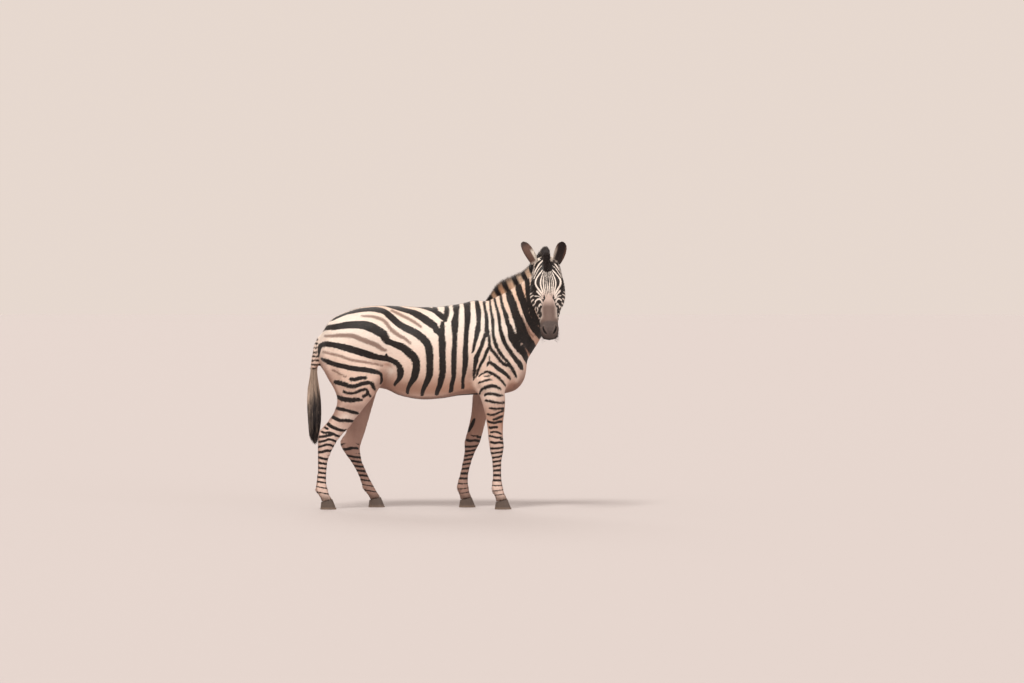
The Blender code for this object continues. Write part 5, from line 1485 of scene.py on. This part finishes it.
maneFacts = {
    "blades": 8600,
    "wide": 0.0026,
    # point on the neck, tip of the hair above it, half width
    "rows": [
        (0.302, 0.107, 1.27, 0.314, 0.107, 1.3, 0.008), (0.338, 0.107, 1.28, 0.34, 0.107, 1.35, 0.013),
        (0.392, 0.103, 1.3, 0.378, 0.104, 1.415, 0.016),
        (0.445, 0.093, 1.33, 0.428, 0.097, 1.447, 0.017),
        (0.502, 0.071, 1.365, 0.488, 0.077, 1.47, 0.017),
        (0.56, 0.032, 1.405, 0.54, 0.042, 1.496, 0.017),
        (0.612, -0.018, 1.45, 0.592, -0.008, 1.548, 0.017),
        (0.652, -0.073, 1.5, 0.635, -0.065, 1.603, 0.016),
        (0.672, -0.121, 1.53, 0.665, -0.119, 1.638, 0.015),
        (0.68, -0.151, 1.543, 0.676, -0.155, 1.645, 0.015),
        (0.681, -0.168, 1.543, 0.679, -0.195, 1.642, 0.015),
        (0.682, -0.181, 1.538, 0.682, -0.229, 1.618, 0.015),
    ],
    # black bands of the mane, in x and z
    "bands": [
        [(0.298, 1.345, 0.02), (0.332, 1.305, 0.022), (0.345, 1.275, 0.014)],
        [(0.352, 1.4, 0.016), (0.378, 1.35, 0.017), (0.4, 1.315, 0.012)],
        [(0.408, 1.43, 0.016), (0.432, 1.378, 0.017), (0.455, 1.345, 0.013)],
        [(0.468, 1.47, 0.016), (0.49, 1.42, 0.017), (0.507, 1.39, 0.015)],
        [(0.52, 1.51, 0.016), (0.54, 1.46, 0.016), (0.56, 1.425, 0.014)],
        [(0.572, 1.555, 0.016), (0.59, 1.5, 0.016), (0.604, 1.465, 0.014)],
        [(0.625, 1.61, 0.018), (0.64, 1.55, 0.018), (0.65, 1.515, 0.014)],
        [(0.676, 1.66, 0.034), (0.682, 1.6, 0.034), (0.69, 1.54, 0.032)],
    ],
}


def hairPaint(name, light, dark, lightTone, darkTone, rough):
    # hair whose strands differ a little, each from root to tip
    paint = Paint(name, Roughness=rough)
    black = paint.attribute("black")
    ground = paint.attribute("ground", "Color")
    streak = paint.noise(120, (1, 1, 0.25), 3.0)
    pale = paint.mix(streak * light, ground, lightTone, "MULTIPLY")
    deep = paint.mix(streak.between(0.3, 0.8) * dark, tone(26, 21, 22), darkTone)
    paint.into(Base_Color=paint.mix(black, pale, deep), Roughness=rough + streak * 0.15)
    return paint.material


def hairPiece(name, spine, wide, sides, places, black, ground, material, replaced):
    mesh, corner, each = spikeMesh(name, spine, wide, sides, 0.5)
    rootMap(mesh, corner, each, places)
    levels = spine.shape[1]
    order = np.append(np.repeat(np.arange(levels - 1), 3), levels - 1)
    setFloats(mesh, "black", black[:, order].ravel())
    setColours(mesh, "ground", ground[:, order].reshape(-1, 3))
    mesh.materials.append(material)
    item = newObject(name, mesh)
    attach(item, "root")
    if replaced:
        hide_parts(replaced)
    print(f"{name}: {len(spine)} hairs")
    return item


def makeMane(material):
    # each hair stands from the crest towards the outline above it, the outer ones shorter
    rows = smoothRows(maneFacts["rows"], 241)
    count = maneFacts["blades"]
    along = np.sort(rng.random(count))
    at = along * 240
    low = np.minimum(at.astype(int), 239)
    row = rows[low] + (rows[low + 1] - rows[low]) * (at - low)[:, None]
    base, tip, half = row[:, :3], row[:, 3:6], row[:, 6]
    lateral = rng.uniform(-1, 1, count)
    forward = unit(np.gradient(rows[:, :3], axis=0))[low]
    up = unit(tip - base)
    side = unit(np.cross(forward, up))
    full = np.linalg.norm(tip - base, axis=1)
    length = full * (1 - 0.30 * np.abs(lateral) ** 2.4) * rng.uniform(0.9, 1.0, count)
    length *= 1 - 0.03 * np.sin(along * 150 + 2 * np.sin(along * 37))
    root = base + side * (lateral * half)[:, None] - up * 0.004
    t = np.linspace(0, 1, 5)
    fan = side * (lateral * 0.1)[:, None] + forward * rng.normal(0, 0.022, count)[:, None]
    way = unit(up + fan + side * rng.normal(0, 0.02, count)[:, None])
    bend = rng.normal(0, 0.006, count)[:, None] * forward + rng.normal(0, 0.003, count)[:, None] * side
    spine = (root[:, None, :] + way[:, None, :] * (length[:, None] * t)[:, :, None]
             + bend[:, None, :] * (t ** 2)[None, :, None])
    wide = maneFacts["wide"] * rng.uniform(0.7, 1.2, count)[:, None] * np.array([0.9, 1.0, 0.9, 0.6, 0.0])
    chart = np.stack([spine[:, :, 0], spine[:, :, 2]], -1).reshape(-1, 2)
    chart = chart + 0.0015 * rng.normal(size=(count, 1)).repeat(5, axis=1).reshape(-1, 1)
    band = routesField(chart, maneFacts["bands"]).reshape(count, 5)
    reach = (length[:, None] * t) / full[:, None]
    black = np.maximum(1 - smoothStep(band, -0.002, 0.002), smoothStep(reach, 0.52, 0.78) * 0.93)
    crest = tone(*coatTones["crest"])
    warm = np.clip(0.02 + 0.50 * reach + 0.45 * ripple(chart, 40, 71).reshape(count, 5), 0, 1)[:, :, None]
    cream = tone(252, 238, 218) * (1 - warm) + crest * warm
    ground = cream * rng.uniform(0.9, 1.15, count)[:, None, None]
    places = np.stack([0.03 + 0.94 * along, 0.03 + 0.94 * (lateral + 1) / 2], 1)
    hairPiece("mane_hair", spine, wide, side, places, black, ground, material, "mane")


forelockFacts = {
    "strands": 1500,
    "wide": 0.003,       # a strand's width
    "lowest": 0.106,     # how far down from the poll it may hang
    "rootsOut": -0.004,  # the roots' place out from the face line
}


def makeForelock(material):
    # a lock that rises between the ears, bows forward and hangs on the forehead
    count = forelockFacts["strands"]
    a, b = rng.uniform(-1, 1, count), rng.random(count)
    start = np.stack([-0.010 + 0.085 * b, np.full(count, forelockFacts["rootsOut"]),
                      0.0235 * a * (1 - 0.25 * b)], 1)
    length = (0.085 - 0.030 * b) * rng.uniform(0.8, 1.05, count)
    t = np.linspace(0, 1, 6)
    rise = (0.070 - 0.045 * b) * rng.uniform(0.75, 1.0, count)
    down = start[:, :1] - 0.020 * (1 - b)[:, None] * np.sin(t * math.pi * 0.5) + (
        length * 0.55)[:, None] * t ** 2
    out = start[:, 1:2] + rise[:, None] * np.sin(t * 1.9)
    turn = start[:, 2:] * (1 - 0.22 * t ** 2) + 0.003 * rng.normal(size=(count, 1)) * t
    spine = fromHead(np.stack([np.minimum(down, forelockFacts["lowest"]), out, turn],
                              -1).reshape(-1, 3))
    spine = spine.reshape(count, 6, 3)
    wide = forelockFacts["wide"] * rng.uniform(0.7, 1.2, count)[:, None] * np.array(
        [0.8, 1, 1, 0.9, 0.7, 0.0])
    black = np.full((count, 6), 0.97)
    ground = np.tile(tone(120, 88, 74), (count, 6, 1))
    places = np.stack([0.05 + 0.9 * b, 0.05 + 0.45 * (a + 1)], 1)
    sides = np.tile(faceLeft, (count, 1))
    hairPiece("forelock_hair", spine, wide, sides, places, black, ground, material, "forelock")


tailFacts = {
    "strands": 4300,
    "wide": 0.0024,   # a strand's width
    "middle": 0.107,  # the body's middle plane, where the tail hangs
    "starts": 0.86,   # the highest of the ordinary strands' roots
    "ends": 0.392,    # and the lowest of all their ends
    "early": 0.22,    # the share of strands that start higher, on the dock
    # height, back x, front x, half width
    "rows": [
        (0.865, -0.7862, -0.7422, 0.0215), (0.82, -0.7917, -0.7387, 0.025),
        (0.76, -0.8037, -0.7277, 0.031), (0.68, -0.8092, -0.7177, 0.036),
        (0.6, -0.8067, -0.7147, 0.038), (0.54, -0.8037, -0.7167, 0.037),
        (0.48, -0.8007, -0.7237, 0.031), (0.43, -0.7967, -0.7337, 0.022), (0.392, -0.77, -0.742, 0.01),
    ],
}


def makeTail(material):
    # strands leave the dock at many heights and hang inside the tuft's outline, the long
    # ones in its middle and on its rear edge
    count = tailFacts["strands"]
    rows = np.array(tailFacts["rows"])[::-1]
    turn = rng.uniform(0, 2 * math.pi, count)
    radius = np.sqrt(rng.random(count)) * 0.93
    a, b = radius * np.cos(turn), radius * np.sin(turn)
    start = tailFacts["starts"] - 0.16 * rng.random(count) ** 1.4
    early = rng.random(count) < tailFacts["early"]
    start = np.where(early, rng.uniform(0.862, 0.96, count), start)
    end = tailFacts["ends"] + 0.10 * radius * rng.random(count) + 0.16 * rng.random(count) ** 3
    t = np.linspace(0, 1, 8)
    z = start[:, None] + (end - start)[:, None] * t
    back, front = np.interp(z, rows[:, 0], rows[:, 1]), np.interp(z, rows[:, 0], rows[:, 2])
    half = np.interp(z, rows[:, 0], rows[:, 3])
    fill = smoothStep(t, 0.0, 0.35) * 0.55 + 0.45
    wave = 0.0035 * np.sin(t * 5 + turn[:, None]) * t
    x = (back + front) / 2 + a[:, None] * fill * (front - back) / 2
    dockX = np.interp(z, (0.8, 0.86, 0.92, 0.99), (-0.7657, -0.7645, -0.7592, -0.747))
    rooted = (1 - smoothStep(t, 0.0, 0.3)) * early[:, None]
    x = x * (1 - rooted) + (dockX + a[:, None] * 0.024) * rooted
    y = tailFacts["middle"] + b[:, None] * fill * half + wave
    spine = np.stack([x + 0.6 * wave, y, z], -1)
    wide = tailFacts["wide"] * rng.uniform(0.7, 1.25, count)[:, None] * np.array(
        [0.6, 1, 1, 1, 1, 0.9, 0.6, 0])
    sides = np.stack([-b, a, 0 * a], 1)
    grey = rng.random(count)[:, None]
    fall = 0.735 + 0.10 * (grey - 0.5) + 0.055 * np.clip(a, -1, 1)[:, None]
    black = np.clip(smoothStep(fall - z, -0.02, 0.08), 0, 1)
    black = black * (1 - 0.75 * (grey > 0.9)) * (1 - 0.5 * (grey < 0.06))
    pale = tone(214, 192, 174) * rng.uniform(0.55, 1.1, count)[:, None]
    ground = np.repeat(pale[:, None, :], 8, axis=1)
    places = np.stack([0.5 + 0.47 * a, 0.5 + 0.47 * b], 1)
    hairPiece("tail_hair", spine, wide, sides, places, black, ground, material, "tail_tuft")


whiskerFacts = {
    "lashes": 60,     # over each eye
    "whiskers": 130,  # on lips and chin together
    "wide": 0.0006,
}


def whiskerPiece():
    # lashes over the eyes, and short stiff hairs on the lips and chin
    spines, sides = [], []
    for side in (1, -1):
        axes, eye, count = eyeAxes(side), eyeSeat(side), whiskerFacts["lashes"]
        turn = rng.uniform(0.35, math.pi - 0.35, count)
        angle, ball = lidAngle(turn) + 0.05, eyeFacts["radius"] + 0.0022
        root = ball * np.stack([np.sin(angle) * np.cos(turn), np.sin(angle) * np.sin(turn),
                                np.cos(angle)], 1)
        way = unit(np.column_stack([np.cos(turn) * 0.5, np.full(count, 0.45), np.full(count, 1.0)]))
        t = np.linspace(0, 1, 4)
        length = rng.uniform(0.007, 0.012, count)[:, None, None]
        local = root[:, None] + way[:, None] * length * t[:, None] + np.array([0, -0.3, 0]) * (
            length * (t ** 2)[:, None])
        spines.append(eye + local @ axes)
        sides.append(np.tile(axes[0], (count, 1)))
    count = whiskerFacts["whiskers"]
    s, v = rng.uniform(0.462, 0.515, count), rng.uniform(-0.04, 0.04, count)
    u = np.where(rng.random(count) < 0.55, -0.1, -0.06) + rng.normal(0, 0.006, count)
    wall = np.interp(s, (0.46, 0.5, 0.52), (0.047, 0.043, 0.022))
    v = np.sign(v) * np.maximum(np.abs(v), wall * 0.93)
    root = fromHead(np.stack([s, u, v], 1))
    way = unit(np.sign(v)[:, None] * faceLeft + 0.5 * faceDown
               + 0.3 * rng.normal(size=(count, 3)))
    t = np.linspace(0, 1, 4)
    length = rng.uniform(0.014, 0.03, count)[:, None, None]
    spines.append(root[:, None] + way[:, None] * length * t[:, None]
                  + faceDown * 0.25 * length * (t ** 2)[:, None])
    sides.append(np.tile(faceDown, (count, 1)))
    spine, sides = np.concatenate(spines), np.concatenate(sides)
    wide = np.full((len(spine), 1), whiskerFacts["wide"]) * np.array([1, 0.9, 0.6, 0])
    black = np.full((len(spine), 4), 1.0)
    ground = np.full((len(spine), 4, 3), 0.2)
    places = rng.random((len(spine), 2)) * 0.9 + 0.05
    return spine, wide, sides, places, black, ground


# ---- eyes and hooves

def makeLid(side, name, material):
    # the bare edge of the lids: a ring round the opening, rounded where it meets the ball;
    # each row is (distance out from the opening's edge, height over the ball)
    profile = np.array([(0.0012, -0.0016), (-0.0022, -0.0012), (-0.002, 0.0002), (-0.001, 0.001),
                        (-0.0002, 0.0016), (0.0008, 0.0021), (0.002, 0.0022), (0.0032, 0.0017),
                        (0.0044, 0.0006), (0.0048, -0.0006), (0.0012, -0.0016)])
    turn = np.linspace(0, 2 * math.pi, 96, endpoint=False)
    angle = lidAngle(turn) + profile[:, :1] / eyeFacts["radius"]
    ball = eyeFacts["radius"] + profile[:, 1:]
    rows = np.stack([ball * np.sin(angle) * np.cos(turn), ball * np.sin(angle) * np.sin(turn),
                     ball * np.cos(angle)], -1)
    mesh = gridMesh(f"eyelid_{name}", eyeSeat(side) + rows @ eyeAxes(side), caps=False)
    mergeDoubles(mesh)
    faceOut(mesh)
    mesh.shade_smooth()
    mesh.materials.append(material)
    lid = newObject(f"eyelid_{name}", mesh)
    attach(lid, "root")


def makeEyes():
    # a ball turned to the eye's own axis, whose front bulges a little over the dark iris
    paint = Paint("zebra_eye", Roughness=0.05, Coat_Weight=0.6, Coat_Roughness=0.03)
    ring, wide = paint.attribute("ring"), paint.attribute("wide")
    fibre = paint.noise(420, detail=3.0)
    iris = paint.mix(fibre.between(0.3, 0.8), tone(18, 11, 9), tone(44, 27, 18))
    edge = ring.between(0.0112, 0.0135)
    colour = paint.mix(edge, iris, tone(13, 9, 9))
    white = ring.between(0.0165, 0.0185)
    colour = paint.mix(white * 0.8, colour, tone(58, 42, 38))
    colour = paint.mix(1 - wide.between(-0.0006, 0.0004), colour, tone(5, 5, 7))
    paint.into(Base_Color=colour)
    lidPaint = Paint("zebra_lid", Roughness=0.42)
    crease = lidPaint.noise(260, detail=3.0)
    lidPaint.into(Base_Color=lidPaint.mix(crease, tone(16, 12, 12), tone(44, 34, 31)),
                  Normal=lidPaint.bump(crease, 0.4, 0.0006))
    for side, name in ((1, "left"), (-1, "right")):
        eye = eyeSeat(side)
        makeLid(side, name, lidPaint.material)
        turn = np.linspace(0, 2 * math.pi, 64, endpoint=False)
        tip = np.linspace(0.012, math.pi - 0.012, 48)
        away = eyeFacts["radius"] - 0.0004 + 0.0004 * bell(tip, 0.4)
        rows = np.stack([np.outer(away * np.sin(tip), np.cos(turn)),
                         np.outer(away * np.sin(tip), np.sin(turn)),
                         np.outer(away * np.cos(tip), np.ones(64))], -1)
        mesh = gridMesh(f"eyeball_{name}", eye + rows @ eyeAxes(side))
        faceOut(mesh)
        local = (readPoints(mesh) - eye) @ eyeAxes(side).T
        ring = np.where(local[:, 2] > 0, np.hypot(local[:, 0], local[:, 1]), 0.03)
        pupil = np.hypot(local[:, 0] / 0.0075, local[:, 1] / 0.0042) - 1
        setFloats(mesh, "ring", ring)
        setFloats(mesh, "wide", np.where(local[:, 2] > 0, pupil * 0.0042, 0.03))
        mesh.shade_smooth()
        mesh.materials.append(paint.material)
        ball = newObject(f"eyeball_{name}", mesh)
        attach(ball, "root")
        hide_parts(f"eye_{name}")
    print("eyes: made")


hoofFacts = {
    "soleTop": 0.004,    # under this height the wall isn't smoothed or ringed
    "ringStep": 0.0075,  # from one growth ring to the next
    "ringDeep": 0.0004,
    "inset": 0.0006,      # the wall stands in by this, so that the rings stay inside
}


def makeHooves():
    # the wall of each hoof with its growth rings, from a finer copy of the solid
    paint = Paint("hoof_horn", Roughness=0.5)
    fibre, patch = paint.noise(260, (1, 1, 0.12), 3.0), paint.noise(30)
    bands = paint.noise(55, (0.1, 0.1, 1.4), 2.0)
    mud = paint.node("ShaderNodeSeparateXYZ", {}, {0: paint.node("ShaderNodeTexCoord", out="Object")}, 2)
    colour = paint.mix(fibre * 0.55 + bands * 0.35, tone(46, 38, 35), tone(110, 92, 80))
    colour = paint.mix((1 - mud.between(0.002, 0.022)) * (patch * 0.5 + 0.1), colour, tone(140, 116, 98))
    paint.into(Base_Color=colour, Roughness=0.45 + fibre * 0.25,
               Normal=paint.bump(fibre * 0.5 + bands, 0.4, 0.0008))
    for end in ("fore", "hind"):
        for side in ("left", "right"):
            node = f"{end}_hoof_{side}"
            shell = bmesh.new()
            shell.from_mesh(nodes[node].data)
            bmesh.ops.remove_doubles(shell, verts=shell.verts, dist=1e-5)
            bmesh.ops.dissolve_limit(shell, angle_limit=math.radians(1), verts=shell.verts,
                                     edges=shell.edges)
            bmesh.ops.triangulate(shell, faces=shell.faces)
            for _ in range(3):
                bmesh.ops.subdivide_edges(shell, edges=shell.edges, cuts=1, use_grid_fill=True)
            mesh = bpy.data.meshes.new(f"hoof_{end}_{side}")
            shell.to_mesh(mesh)
            shell.free()
            soft = readPoints(mesh)[:, 2] > hoofFacts["soleTop"]
            relax(mesh, 3, soft.astype(float)[:, None])
            points, normals = readPoints(mesh), readPoints(mesh, "normal")
            wall = smoothStep(points[:, 2], hoofFacts["soleTop"], 0.01) * (
                np.abs(normals[:, 2]) < 0.7)
            ringTurn = points[:, 2] * 2 * math.pi / hoofFacts["ringStep"]
            ridge = hoofFacts["ringDeep"] * np.sin(ringTurn + ripple(points, 40, 61))
            moved = points + normals * ((ridge - hoofFacts["inset"]) * wall)[:, None]
            moved[:, 2] = np.where(points[:, 2] < 0.0005, points[:, 2], moved[:, 2])
            writePoints(mesh, moved)
            mesh.shade_smooth()
            mesh.materials.append(paint.material)
            hoof = newObject(f"hoof_{end}_{side}", mesh)
            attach(hoof, "root")
            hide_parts(node)
    print("hooves: made")


makeEyes()
makeHooves()
maneMaterial = hairPaint("mane_hair", 0.5, 0.6, tone(190, 150, 120), tone(70, 54, 50), 0.52)
tailMaterial = hairPaint("tail_hair", 0.5, 0.5, tone(150, 128, 112), tone(60, 54, 56), 0.42)
makeMane(maneMaterial)
makeForelock(maneMaterial)
makeTail(tailMaterial)
hairPiece("whiskers", *whiskerPiece(), maneMaterial, None)
makeCoat(skin)


# ---- camera, light and floor

stageFacts = {
    "aim": (0.4707, 0.0, 1.0435),
    "distance": 35.335,
    "lens": 200.0,
    "elevation": 2.0,
    "sensor": 36,
    "clip": 200,
    "floorX": (-40.0, 40.0),
    "floorY": (-45.0, 40.0),
    "floorTone": (179, 172, 171),
    "sky": (0.97, 0.84, 0.76, 1),
    "skyStrength": 0.82,
    # name, way the light falls, strength, colour, how soft in degrees
    "suns": [
        ("key", (0.3, 0.55, -1.0), 2.45, (1.0, 0.965, 0.91), 18),
        ("side", (-0.9, 0.75, -0.35), 0.55, (0.96, 0.97, 1.0), 40),
        ("back", (0.2, -1.0, -0.7), 0.8, (1.0, 0.96, 0.92), 30),
    ],
}


def makeStage():
    scene = bpy.context.scene
    rise = math.radians(stageFacts["elevation"])
    aim = Vector(stageFacts["aim"])
    lens = bpy.data.cameras.new("camera")
    lens.lens = stageFacts["lens"]
    lens.sensor_width = stageFacts["sensor"]
    lens.clip_end = stageFacts["clip"]
    camera = newObject("camera", lens)
    camera.location = aim + stageFacts["distance"] * Vector((0, -math.cos(rise), math.sin(rise)))
    camera.rotation_euler = (math.pi / 2 - rise, 0, 0)
    scene.camera = camera

    rows = np.array([[(x, y, 0.0) for x in stageFacts["floorX"]] for y in stageFacts["floorY"]])
    floor = newObject("floor", gridMesh("floor", rows[:, ::-1], closed=False))
    faceOut(floor.data)
    paint = Paint("floor", Roughness=0.9)
    paint.into(Base_Color=tone(*stageFacts["floorTone"]))
    floor.data.materials.append(paint.material)

    for name, way, strength, colour, soft in stageFacts["suns"]:
        data = bpy.data.lights.new(name, "SUN")
        data.energy = strength
        data.color = colour
        data.angle = math.radians(soft)
        item = newObject(name, data)
        item.rotation_euler = Vector(way).to_track_quat("-Z", "Y").to_euler()

    world = bpy.data.worlds.new("studio")
    scene.world = world
    world.use_nodes = True
    sky = world.node_tree.nodes["Background"].inputs
    sky["Color"].default_value = stageFacts["sky"]
    sky["Strength"].default_value = stageFacts["skyStrength"]
    scene.view_settings.view_transform = "Standard"


makeStage()
